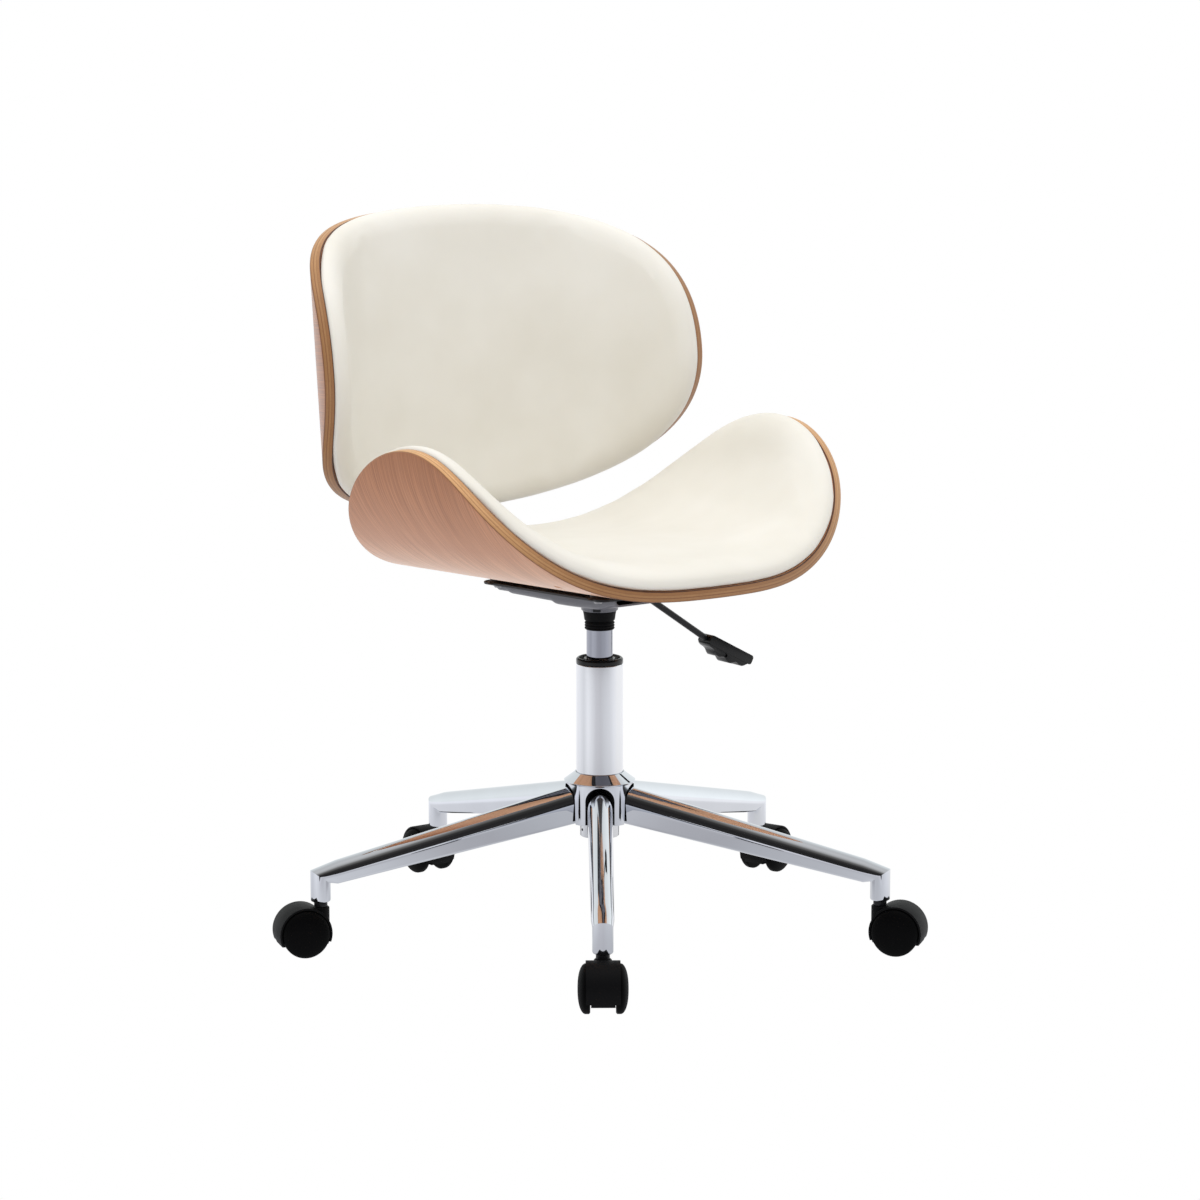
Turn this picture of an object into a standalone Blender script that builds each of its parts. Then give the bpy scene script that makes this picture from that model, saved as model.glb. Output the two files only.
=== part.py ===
"""Swivel office chair with two bent plywood shells on a gas lift and casters.

Lengths are in metres and +Z is up. The chair faces -Y, so the sitter's right
hand is towards -X. Heights are stacked from the floor upwards, and everything
that seats on, passes through or lines up with another piece is worked out from
the same named values.
"""
import math

import bmesh
import bpy
from mathutils import Matrix, Vector

# Gaps
GAP = 0.0003                    # between two pieces that touch
FACE_STEP = 0.0005              # overlap of two shapes that are joined into one

# Sides of turned pieces, by how large they show
BOLT_SIDES = 8
PIN_SIDES = 12
SLEEVE_SIDES = 20
TUBE_SIDES = 30

# Casters
WHEEL_RADIUS = 0.0250
WHEEL_SIDES = 18
WHEEL_TREAD = 0.0040            # width of the flat tread
WHEEL_INNER = 0.0128            # caster's middle to the wheel's inner face
WHEEL_DOME = 0.0125             # inner face to the top of the domed outer face
WHEEL_HUB_WALL = 0.0035         # dome's wall over the axle's end
AXLE_RADIUS = 0.0035
HOOD_HALF_BODY = 0.0120
HOOD_HALF_FENDER = 0.0172
HOOD_FENDER_GAP = 0.0010
HOOD_FENDER_WALL = 0.0020
HOOD_CLEARANCE = 0.0120         # floor to the lower edge of the hood's body
HOOD_SWEEP = 20.0               # degrees that the fender reaches below the axle
HOOD_STEPS = 12                 # facets along the hood's arc
CASTER_TRAIL = 0.0200           # stem axis to axle
BOSS_RADIUS = 0.0090
BOSS_RISE = 0.0250              # axle to the top of the stem boss
STEM_RADIUS = 0.0055
STEM_SEAT = 0.0140              # depth of the stem in the hood
STEM_COLLAR_RADIUS = 0.0070
STEM_COLLAR = 0.0050
STEM_PIN = 0.0230               # length inside the arm's socket

# Five-arm base
ARM_COUNT = 5
BASE_RADIUS = 0.3076            # column axis to caster stem axis
STUB_RADIUS = 0.0105
STUB_FRONT = 0.0335             # height of the socket's outer side
STUB_BACK = 0.0190              # height of the socket's inner side
ARM_TIP_HEIGHT = 0.0236
ARM_ROOT_HEIGHT = 0.0400
ARM_ROOT_WIDTH = 0.0270
ARM_TIP_WIDTH = 0.0236
ARM_SIDES = 14
ARM_RISE = 0.0536               # arm's middle line, from its tip to its root
HUB_RADIUS = 0.0305
HUB_HEIGHT = 0.0435
HUB_POCKET = 0.0020
CAP_RADIUS = 0.0380
CAP_TOP_RADIUS = 0.0265
CAP_HEIGHT = 0.0100

# Column and gas lift
TUBE_RADIUS = 0.0250
TUBE_WALL = 0.0018
TUBE_FOOT_RADIUS = 0.0210
TUBE_LENGTH = 0.1870
TUBE_FOOT_DROP = 0.0165         # tube's foot below the hub
FOOT_WALL = 0.0030
BUSH_LENGTH = 0.0600
BUSH_FLANGE = 0.0060
BUSH_EASE = 0.0010
CYLINDER_RADIUS = 0.0140
CYLINDER_NOSE = 0.0133          # radius at the top of the taper
CYLINDER_SHOWN = 0.0303         # bare cylinder at the lowest seat height
CYLINDER_WALL = 0.0025
CYLINDER_TOP_WALL = 0.0160
CYLINDER_FOOT_GAP = 0.0165      # rod's shoulder to the cylinder at the lowest height
ROD_RADIUS = 0.0050
ROD_SHOULDER = 0.0024
SHOULDER_RADIUS = 0.0096
ROD_TAIL = 0.0050               # rod below the tube's foot
PISTON_HEIGHT = 0.0120
PISTON_DROP = 0.0060            # piston below the chamber's end at the lowest height
BEARING_HEIGHT = 0.0040
BEARING_RADIUS = 0.0120
CLIP_HEIGHT = 0.0015
CLIP_RADIUS = 0.0090
CLIP_GROOVE = 0.0009
LIFT_STROKE = 0.1000
BUTTON_RADIUS = 0.0025
BUTTON_SHOWN = 0.0047
BUTTON_DEPTH = 0.0055

# Lift mechanism
COLLAR_RADIUS = 0.0158
COLLAR_HEIGHT = 0.0200
COLLAR_CONE = 0.0178
COLLAR_RIBS = 2
RIB_DEPTH = 0.0007
TRAY_BOSS_HEIGHT = 0.0095
TRAY_BOSS_RADIUS = 0.0195
TRAY_BOSS_FLARE = 0.0340
TRAY_WALL = 0.0020
TRAY_HALF_WIDTH = 0.0500
TRAY_FRONT = -0.0934
TRAY_REAR = 0.1190
TRAY_DEPTH = 0.0142             # under the column
TRAY_REAR_DEPTH = 0.0115
TRAY_FRONT_DEPTH = 0.0070
PLATE_THICKNESS = 0.0030
PLATE_HALF_WIDTH = 0.0700
PLATE_FRONT = -0.0980
PLATE_REAR = 0.1220
PLATE_CORNER = 0.0120
PLATE_BOLT_X = 0.0600
PLATE_BOLT_FRONT = -0.0780
PLATE_BOLT_REAR = 0.1020

# Lift lever
LEVER_RADIUS = 0.0035
LEVER_PIVOT_X = 0.0240
LEVER_INNER = 0.0060            # rod past the column axis
LEVER_BELOW_PLATE = 0.0068      # plate to the rod's middle line
LEVER_BEND_X = 0.0484
LEVER_SLOPE = 33.8
LEVER_REACH = 0.1640            # column axis to the rod's outer end
PIVOT_RADIUS = 0.0020
PIVOT_LENGTH = 0.0160
YOKE_LENGTH = 0.0120
YOKE_WALL = 0.0014
YOKE_INNER = 0.0042
PADDLE_START = 0.1420
PADDLE_LENGTH = 0.0650
PADDLE_HALF_WIDTH = 0.0105
PADDLE_ROOT = 0.0105
PADDLE_BELLY = 0.0080
PADDLE_SLOPE = 27.7
PADDLE_GRIPS = 3
PADDLE_GRIP_DEPTH = 0.0016
PADDLE_EASE = 0.0014

# Plywood shells
PLY = 0.0110
EDGE_ROUND = 0.0012
OUTLINE_POINTS = 44
FACE_RINGS = (0.86, 0.69, 0.51, 0.33, 0.15)
SEAT_RAKE = 2.33                # degrees, front edge up
SEAT_HALF = 0.3305              # half width, measured round the bend
SEAT_FRONT = -0.2124
SEAT_MIDDLE = -0.0170
SEAT_REAR = 0.2356
SEAT_HANDLES = (0.0928, 0.1213, 0.1251, 0.1621)
SEAT_BEND = (0.0150, 0.3805)    # where the bend starts and ends, from the middle
SEAT_BEND_ANGLE = 78.7
BACK_RAKE = 5.60                # degrees, leaning back
BACK_Y = 0.2881                 # rear face of the back shell, at its middle
BACK_RISE = 0.2013              # seat shell's lower face to the back's middle
BACK_HALF = 0.3114
BACK_LOW = -0.1526
BACK_MIDDLE = -0.0004
BACK_HIGH = 0.1754
BACK_HANDLES = (0.1723, 0.1012, 0.1041, 0.2365)
BACK_BEND = (0.0000, 0.3328)
BACK_BEND_ANGLE = 63.7

# Pads: insets of the rounded side, foot to top, and each one's share of the side's height
PAD_FOOT = 0.0040
SEAT_PAD_EDGE = 0.0215
SEAT_PAD_CROWN = 0.0300
BACK_PAD_EDGE = 0.0175
BACK_PAD_CROWN = 0.0260
PAD_ROLL = (0.0040, -0.0008, -0.0026, 0.0006, 0.0125)
PAD_ROLL_SHARES = (0.00, 0.20, 0.50, 0.80, 1.00)

# Back bracket
BRACKET_THICKNESS = 0.0060
BRACKET_HALF_WIDTH = 0.0500
BRACKET_BEND = 0.0300           # radius of the bend's middle line
BRACKET_TOP = 0.0050            # above the back's middle
BRACKET_SEAT_BOLT_Y = 0.1620
BRACKET_BOLT_X = 0.0300
BRACKET_BACK_BOLTS = (-0.1150, -0.0250)

# Fasteners
BOLT_RADIUS = 0.0030
BOLT_HEAD_RADIUS = 0.0055
BOLT_HEAD = 0.0030
NUT_BARREL = 0.0042
NUT_FLANGE_RADIUS = 0.0085
NUT_FLANGE = 0.0012
NUT_LENGTH = 0.0085
NUT_SINK = 0.0004               # nut's flange below the shell's inner face
SCREW_RADIUS = 0.0022
SCREW_HEAD_RADIUS = 0.0046
SCREW_HEAD_DEPTH = 0.0008
SCREW_SINK = 0.0034
SEAT_SCREWS = ((0.1220, 0.1630), (0.1470, -0.1260))
BACK_SCREWS = ((0.1350, -0.0700), (0.1350, 0.0900))

# Heights and places worked out from the values above
AXLE_HEIGHT = WHEEL_RADIUS
FENDER_INNER = WHEEL_RADIUS + HOOD_FENDER_GAP
FENDER_OUTER = FENDER_INNER + HOOD_FENDER_WALL
BOSS_TOP = AXLE_HEIGHT + BOSS_RISE
STUB_BOTTOM = BOSS_TOP + STEM_COLLAR + 2 * GAP
ARM_TIP_MIDDLE = STUB_BOTTOM + STUB_BACK + ARM_TIP_HEIGHT / 2
ARM_ROOT_MIDDLE = ARM_TIP_MIDDLE + ARM_RISE
HUB_BOTTOM = ARM_ROOT_MIDDLE - ARM_ROOT_HEIGHT / 2
HUB_TOP = HUB_BOTTOM + HUB_HEIGHT
CAP_TOP = HUB_TOP + CAP_HEIGHT
TUBE_FOOT = HUB_BOTTOM - TUBE_FOOT_DROP
TUBE_TOP = TUBE_FOOT + TUBE_LENGTH
BUSH_TOP = TUBE_TOP + GAP + BUSH_FLANGE
BEARING_BOTTOM = TUBE_FOOT + FOOT_WALL + GAP
SHOULDER_BOTTOM = BEARING_BOTTOM + BEARING_HEIGHT + GAP
CYLINDER_BOTTOM = SHOULDER_BOTTOM + ROD_SHOULDER + CYLINDER_FOOT_GAP
COLLAR_BOTTOM = BUSH_TOP + CYLINDER_SHOWN
COLLAR_TOP = COLLAR_BOTTOM + COLLAR_HEIGHT
TRAY_BOTTOM = COLLAR_TOP + GAP + TRAY_BOSS_HEIGHT
PLATE_BOTTOM = TRAY_BOTTOM + TRAY_DEPTH + GAP
PLATE_TOP = PLATE_BOTTOM + PLATE_THICKNESS
BRACKET_BOTTOM = PLATE_TOP + GAP
SEAT_HEIGHT = BRACKET_BOTTOM + BRACKET_THICKNESS + GAP
BACK_HEIGHT = SEAT_HEIGHT + BACK_RISE
LEVER_HEIGHT = PLATE_BOTTOM - LEVER_BELOW_PLATE
BUTTON_TOP = LEVER_HEIGHT - LEVER_RADIUS - GAP
CYLINDER_TOP = BUTTON_TOP - BUTTON_SHOWN
CHAMBER_TOP = CYLINDER_TOP - CYLINDER_TOP_WALL
CASTER_REACH = BASE_RADIUS + CASTER_TRAIL + FENDER_OUTER
FRONT_REACH = CASTER_REACH * math.cos(math.pi / ARM_COUNT) + WHEEL_INNER * math.sin(math.pi / ARM_COUNT)
COLUMN_Y = (FRONT_REACH - CASTER_REACH) / 2


# Scene and materials

def clear_scene():
    """Remove every object that the file opened with."""
    for item in list(bpy.data.objects):
        bpy.data.objects.remove(item, do_unlink=True)


def finish(name, color, roughness, metallic=0.0):
    """Return a material with a plain colour."""
    material = bpy.data.materials.new(name)
    material.use_nodes = True
    shader = material.node_tree.nodes["Principled BSDF"]
    shader.inputs["Base Color"].default_value = (*color, 1.0)
    shader.inputs["Roughness"].default_value = roughness
    shader.inputs["Metallic"].default_value = metallic
    return material


def empty(name, place=(0, 0, 0), turn=(0, 0, 0), parent=None):
    """Return an empty that carries other objects."""
    item = bpy.data.objects.new(name, None)
    bpy.context.scene.collection.objects.link(item)
    item.location = place
    item.rotation_euler = turn
    item.parent = parent
    return item


def add(name, mesh, parent, material, place=(0, 0, 0)):
    """Put a mesh in the scene under its parent."""
    item = bpy.data.objects.new(name, mesh)
    bpy.context.scene.collection.objects.link(item)
    if not mesh.materials:
        mesh.materials.append(material)
    item.location = place
    item.parent = parent
    return item


def cutter(name, mesh, parent, place=(0, 0, 0)):
    """Put a mesh in the scene as a tool that only cuts or joins."""
    item = bpy.data.objects.new(name, mesh)
    bpy.context.scene.collection.objects.link(item)
    item.location = place
    item.parent = parent
    item.hide_render = True
    item.display_type = "WIRE"
    return item


def boolean(item, tool, operation="DIFFERENCE"):
    """Cut a tool from an object, or join it on."""
    modifier = item.modifiers.new(tool.name, "BOOLEAN")
    modifier.operation = operation
    modifier.solver = "EXACT"
    modifier.object = tool


# Meshes

def to_mesh(name, work, smooth=True):
    """Turn a bmesh into a mesh with its faces pointing out."""
    bmesh.ops.recalc_face_normals(work, faces=work.faces)
    mesh = bpy.data.meshes.new(name)
    work.to_mesh(mesh)
    work.free()
    if smooth:
        mesh.shade_smooth()
        mesh.set_sharp_from_angle(angle=math.radians(35))
    return mesh


def bridge(work, first, second):
    """Join two rings of points; a ring of one point is a pole."""
    count = max(len(first), len(second))
    for i in range(count):
        j = (i + 1) % count
        if len(first) == 1:
            work.faces.new((first[0], second[i], second[j]))
        elif len(second) == 1:
            work.faces.new((first[i], first[j], second[0]))
        elif ring_size(first) > ring_size(second):
            work.faces.new((first[i], first[j], second[j]))
            work.faces.new((first[i], second[j], second[i]))
        else:
            work.faces.new((first[i], first[j], second[i]))
            work.faces.new((first[j], second[j], second[i]))


def ring_size(ring):
    """Return the distance across a ring, so that stacked faces split alike."""
    return (ring[0].co - ring[len(ring) // 2].co).length


def add_rings(work, rings, closed=False):
    """Skin a list of rings, with flat ends unless they close on themselves."""
    made = [[work.verts.new(point) for point in ring] for ring in rings]
    for first, second in zip(made, made[1:]):
        bridge(work, first, second)
    if closed:
        bridge(work, made[-1], made[0])
        return
    for ring in (made[0], made[-1]):
        if len(ring) > 1:
            work.faces.new(ring)


def rings_mesh(name, rings, closed=False):
    """Return a mesh skinned over rings of points."""
    work = bmesh.new()
    add_rings(work, rings, closed)
    return to_mesh(name, work)


def turned_rings(profile, sides):
    """Spin (radius, height) pairs about Z; a radius of 0 is a pole."""
    rings = []
    for radius, height in profile:
        if radius == 0:
            rings.append([Vector((0, 0, height))])
            continue
        turn = [math.tau * i / sides for i in range(sides)]
        rings.append([Vector((radius * math.cos(a), radius * math.sin(a), height)) for a in turn])
    return rings


def turned(name, profile, sides, places=(Matrix.Identity(4),)):
    """Return a turned mesh, repeated at each place as a body of its own."""
    work = bmesh.new()
    closed = profile[0][0] > 0 and profile[-1][0] > 0
    for place in places:
        rings = [[place @ point for point in ring] for ring in turned_rings(profile, sides)]
        add_rings(work, rings, closed)
    return to_mesh(name, work)


def prism(name, outline, depth, axis="Y"):
    """Extrude an outline by half its depth to each side of the plane."""
    def point(pair, side):
        first, second = pair
        if axis == "Y":
            return Vector((first, side, second))
        if axis == "X":
            return Vector((side, first, second))
        return Vector((first, second, side))
    rings = [[point(pair, side) for pair in outline] for side in (-depth / 2, depth / 2)]
    work = bmesh.new()
    add_rings(work, rings)
    return to_mesh(name, work)


def block(name, low, high):
    """Return a box between two corners."""
    outline = [(low[0], low[1]), (high[0], low[1]), (high[0], high[1]), (low[0], high[1])]
    rings = [[Vector((x, y, z)) for x, y in outline] for z in (low[2], high[2])]
    return rings_mesh(name, rings)


def rounded_rectangle(low_x, high_x, low_y, high_y, radius, steps=4):
    """Return the outline of a rectangle with round corners."""
    corners = ((high_x, high_y, 0), (low_x, high_y, 90), (low_x, low_y, 180), (high_x, low_y, 270))
    outline = []
    for x, y, start in corners:
        middle_x = x - math.copysign(radius, x - (low_x + high_x) / 2)
        middle_y = y - math.copysign(radius, y - (low_y + high_y) / 2)
        for i in range(steps + 1):
            angle = math.radians(start + 90 * i / steps)
            outline.append((middle_x + radius * math.cos(angle), middle_y + radius * math.sin(angle)))
    return outline


def swept(name, path, radius, sides):
    """Return a round bar along a path in the XZ plane."""
    rings = []
    for i, point in enumerate(path):
        before = path[max(i - 1, 0)]
        after = path[min(i + 1, len(path) - 1)]
        along = (after - before).normalized()
        across = Vector((0, 1, 0))
        up = along.cross(across)
        if 0 < i < len(path) - 1:
            spread = 1 / math.cos((point - before).angle(after - point) / 2)
        else:
            spread = 1
        turn = [math.tau * k / sides for k in range(sides)]
        side = across * radius
        rise = up * radius * spread
        rings.append([point + side * math.cos(a) + rise * math.sin(a) for a in turn])
    return rings_mesh(name, rings)


def fillet(before, corner, after, radius, steps):
    """Return the points of an arc that rounds a corner."""
    one = (before - corner).normalized()
    two = (after - corner).normalized()
    half = one.angle(two) / 2
    reach = radius / math.tan(half)
    middle = corner + (one + two).normalized() * radius / math.sin(half)
    start = corner + one * reach - middle
    end = corner + two * reach - middle
    return [middle + start.slerp(end, i / steps).normalized() * radius for i in range(steps + 1)]


# Bent shells

class Bend:
    """Cross-section of a bent panel: its slope grows along half a cosine wave."""

    STEP = 0.0005

    def __init__(self, start, end, angle, reach):
        self.places = [(0.0, 0.0, 0.0)]
        full = math.radians(angle)
        x = 0.0
        z = 0.0
        for i in range(1, int(reach / self.STEP) + 4):
            middle = (i - 0.5) * self.STEP
            share = min(max((middle - start) / (end - start), 0.0), 1.0)
            slope = full * (1 - math.cos(math.pi * share)) / 2
            x += math.cos(slope) * self.STEP
            z += math.sin(slope) * self.STEP
            self.places.append((x, z, slope))

    def at(self, along, height):
        """Return x and z at a length along the bend and a height off its outer face."""
        spot = min(abs(along) / self.STEP, len(self.places) - 1.001)
        low = int(spot)
        share = spot - low
        x, z, slope = (a + (b - a) * share for a, b in zip(self.places[low], self.places[low + 1]))
        x -= height * math.sin(slope)
        z += height * math.cos(slope)
        return math.copysign(x, along), z

    def normal(self, along):
        """Return the direction from the outer face to the inner one."""
        x0, z0 = self.at(along, 0.0)
        x1, z1 = self.at(along, 1.0)
        return x1 - x0, z1 - z0


def bezier(points, share):
    """Return a point of a cubic curve."""
    rest = 1 - share
    weights = (rest ** 3, 3 * rest ** 2 * share, 3 * rest * share ** 2, share ** 3)
    return tuple(sum(w * p[k] for w, p in zip(weights, points)) for k in range(2))


def egg_outline(half, low, middle, high, handles):
    """Return a closed outline of four curves that is the same on both sides."""
    low_out, low_up, high_down, high_out = handles
    lower = ((0, low), (low_out, low), (half, middle - low_up), (half, middle))
    upper = ((half, middle), (half, middle + high_down), (high_out, high), (0, high))
    steps = OUTLINE_POINTS // 4
    side = [bezier(lower, i / steps) for i in range(steps)]
    side += [bezier(upper, i / steps) for i in range(steps + 1)]
    return side + [(-s, v) for s, v in side[-2:0:-1]]


def inset(outline, distance):
    """Move an outline inwards by a distance."""
    moved = []
    for i, (s, v) in enumerate(outline):
        before = outline[i - 1]
        after = outline[(i + 1) % len(outline)]
        length = math.hypot(after[0] - before[0], after[1] - before[1])
        moved.append((s - distance * (after[1] - before[1]) / length,
                      v + distance * (after[0] - before[0]) / length))
    return moved


def shrink(outline, middle, share):
    """Scale an outline about its middle."""
    return [(s * share, middle + (v - middle) * share) for s, v in outline]


class Panel:
    """A bent shell with its pad, in the flat frame of the seat or of the back."""

    def __init__(self, half, low, middle, high, handles, bend, angle, upright):
        self.outline = egg_outline(half, low, middle, high, handles)
        self.middle = middle
        self.bend = Bend(*bend, angle, half)
        self.upright = upright

    def point(self, along, across, height):
        """Return a point from its lengths along, across and off the panel."""
        x, z = self.bend.at(along, height)
        if self.upright:
            return Vector((x, -z, across))
        return Vector((x, across, z))

    def place(self, along, across, height):
        """Return a frame whose Z axis points from the inner face outwards."""
        x, z = self.bend.normal(along)
        if self.upright:
            out = Vector((-x, z, 0))
        else:
            out = Vector((-x, 0, -z))
        turn = out.to_track_quat("Z", "Y").to_matrix().to_4x4()
        return Matrix.Translation(self.point(along, across, height)) @ turn

    def ring(self, outline, height):
        """Bend an outline at a height off the panel's outer face."""
        return [self.point(s, v, height) for s, v in outline]

    def face(self, height, rise=0.0):
        """Return the rings of one face, edge first, rising to a crown."""
        inner = inset(self.outline, PAD_FOOT)
        rings = []
        for share in FACE_RINGS:
            rings.append(self.ring(shrink(inner, self.middle, share), height + rise * (1 - share ** 2)))
        rings.append([self.point(0, self.middle, height + rise)])
        return rings

    def shell_mesh(self, name):
        """Return the plywood shell with its eased edges."""
        eased = inset(self.outline, EDGE_ROUND)
        foot = inset(self.outline, PAD_FOOT)
        rings = self.face(0.0)[::-1]
        rings.append(self.ring(foot, 0.0))
        rings.append(self.ring(eased, 0.0))
        rings.append(self.ring(self.outline, EDGE_ROUND))
        rings.append(self.ring(self.outline, PLY - EDGE_ROUND))
        rings.append(self.ring(eased, PLY))
        rings.append(self.ring(foot, PLY))
        rings += self.face(PLY)
        return rings_mesh(name, rings)

    def pad_mesh(self, name, edge, crown):
        """Return the pad: a flat foot, drawn-in sides and a crowned top."""
        base = PLY + GAP
        rings = self.face(base)[::-1]
        for distance, share in zip(PAD_ROLL, PAD_ROLL_SHARES):
            rings.append(self.ring(inset(self.outline, distance), base + edge * share))
        rings += self.face(base + edge, crown - edge)
        return rings_mesh(name, rings)

    def both_sides(self, spots, height):
        """Return frames at each spot and its mirror image."""
        return [self.place(side * s, v, height) for s, v in spots for side in (-1, 1)]


# Fasteners, each drawn with its head from Z = 0 upwards and its shank below

def bolt_mesh(name, grip):
    """Return a button-head bolt with its flanged nut at the far end of the grip."""
    flange_low = -grip + NUT_FLANGE
    barrel_low = -grip + NUT_LENGTH
    profile = [(0, -grip), (NUT_FLANGE_RADIUS, -grip), (NUT_FLANGE_RADIUS, flange_low),
               (NUT_BARREL, flange_low), (NUT_BARREL, barrel_low), (BOLT_RADIUS, barrel_low),
               (BOLT_RADIUS, 0), (BOLT_HEAD_RADIUS, 0), (BOLT_HEAD_RADIUS, BOLT_HEAD * 0.4),
               (BOLT_HEAD_RADIUS * 0.6, BOLT_HEAD), (0, BOLT_HEAD)]
    return turned(name, profile, BOLT_SIDES)


def add_bolts(name, places, grip, parent, material):
    """Put the same bolt at each place, as an object of its own."""
    mesh = bolt_mesh(name, grip)
    for i, place in enumerate(places):
        item = add(f"{name}_{i + 1}", mesh, parent, material)
        item.matrix_basis = place


def nut_seat_mesh(name, places):
    """Return the stepped holes that bolts and their nuts need in a shell."""
    barrel = NUT_BARREL + GAP
    flange = NUT_FLANGE_RADIUS + GAP
    step = -PLY + NUT_SINK + NUT_FLANGE + GAP
    past = PLY / 2
    profile = [(0, -PLY - past), (flange, -PLY - past), (flange, step), (barrel, step),
               (barrel, past), (0, past)]
    return turned(name, profile, BOLT_SIDES, places)


def screw_seat_mesh(name, places):
    """Return the countersinks in a shell's outer face for the pad's screws."""
    past = PLY / 2
    profile = [(0, -SCREW_SINK), (SCREW_RADIUS, -SCREW_SINK), (SCREW_HEAD_RADIUS, -SCREW_HEAD_DEPTH),
               (SCREW_HEAD_RADIUS, past), (0, past)]
    return turned(name, profile, BOLT_SIDES, places)


# Base

def arm_section(radial, width, height, middle):
    """Return a tall rounded section of an arm, in a plane across it."""
    ring = []
    for i in range(ARM_SIDES):
        angle = math.tau * i / ARM_SIDES
        across = math.copysign(abs(math.sin(angle)) ** 0.85, math.sin(angle)) * width / 2
        up = math.copysign(abs(math.cos(angle)) ** 0.85, math.cos(angle)) * height / 2
        ring.append(Vector((across, radial, middle + up)))
    return ring


def stub_ring(radius, height, tilt=0.0):
    """Return a ring round the caster's stem, level or tilted along the arm."""
    ring = []
    for i in range(ARM_SIDES):
        angle = math.tau * i / ARM_SIDES
        out = radius * math.cos(angle)
        ring.append(Vector((radius * math.sin(angle), BASE_RADIUS + out, height + tilt * out)))
    return ring


def arm_at(share):
    """Return width, height and middle of an arm from its root, 0, to its tip, 1."""
    width = ARM_TIP_WIDTH + (ARM_ROOT_WIDTH - ARM_TIP_WIDTH) * (1 - share)
    height = ARM_ROOT_HEIGHT + (ARM_TIP_HEIGHT - ARM_ROOT_HEIGHT) * share
    middle = ARM_ROOT_MIDDLE - ARM_RISE * share
    return width, height, middle


def arm_mesh():
    """Return one arm: tapered tube, mitred elbow and caster socket in one skin."""
    root = HUB_RADIUS - HUB_POCKET + GAP
    tip = BASE_RADIUS - 1.6 * STUB_RADIUS
    rings = []
    for share in (0.0, 0.08, 0.3, 0.6, 1.0):
        rings.append(arm_section(root + (tip - root) * share, *arm_at(share)))
    tilt = (STUB_FRONT - STUB_BACK) / (2 * STUB_RADIUS)
    ease = STUB_RADIUS * 0.08
    bore = STEM_RADIUS + GAP
    socket_top = STUB_BOTTOM + STEM_PIN + GAP
    rings.append(stub_ring(STUB_RADIUS, STUB_BOTTOM + (STUB_FRONT + STUB_BACK) / 2, tilt))
    rings.append(stub_ring(STUB_RADIUS, STUB_BOTTOM + ease))
    rings.append(stub_ring(STUB_RADIUS - ease, STUB_BOTTOM))
    rings.append(stub_ring(bore, STUB_BOTTOM))
    rings.append(stub_ring(bore, socket_top))
    return rings_mesh("base_arm", rings)


def arm_heading(index):
    """Return an arm's turn about the column; the first points straight back."""
    return math.tau * index / ARM_COUNT


def tube_radius(height):
    """Return the column tube's outer radius, which narrows inside the hub."""
    low = HUB_BOTTOM
    high = HUB_TOP
    share = min(max((height - low) / (high - low), 0.0), 1.0)
    return TUBE_FOOT_RADIUS + (TUBE_RADIUS - TUBE_FOOT_RADIUS) * share


def build_base(root, chrome):
    """Hub and arms."""
    profile = [(tube_radius(HUB_BOTTOM) + GAP, HUB_BOTTOM),
               (HUB_RADIUS - FACE_STEP, HUB_BOTTOM), (HUB_RADIUS, HUB_BOTTOM + FACE_STEP),
               (HUB_RADIUS, HUB_TOP), (CAP_RADIUS, HUB_TOP), (CAP_RADIUS, HUB_TOP + 0.15 * CAP_HEIGHT),
               (CAP_TOP_RADIUS, CAP_TOP), (TUBE_RADIUS + GAP, CAP_TOP), (TUBE_RADIUS + GAP, HUB_TOP)]
    hub = add("base_hub", turned("base_hub", profile, TUBE_SIDES), root, chrome)
    width, height, middle = arm_at(0.0)
    share = 2 * GAP
    pocket_rings = [arm_section(radial, width + 2 * share, height + 2 * share, middle)
                    for radial in (HUB_RADIUS - HUB_POCKET, 2 * HUB_RADIUS)]
    pocket = rings_mesh("arm_pocket", pocket_rings)
    arm = arm_mesh()
    for i in range(ARM_COUNT):
        heading = arm_heading(i)
        tool = cutter(f"arm_pocket_{i + 1}", pocket, root)
        tool.rotation_euler.z = heading
        boolean(hub, tool)
        piece = add(f"base_arm_{i + 1}", arm, root, chrome)
        piece.rotation_euler.z = heading


# Casters

def arc(radius, first, last, steps):
    """Return points of an arc in the plane of a wheel, by degrees from level."""
    turn = [math.radians(first + (last - first) * i / steps) for i in range(steps + 1)]
    return [(radius * math.cos(a), radius * math.sin(a)) for a in turn]


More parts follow.
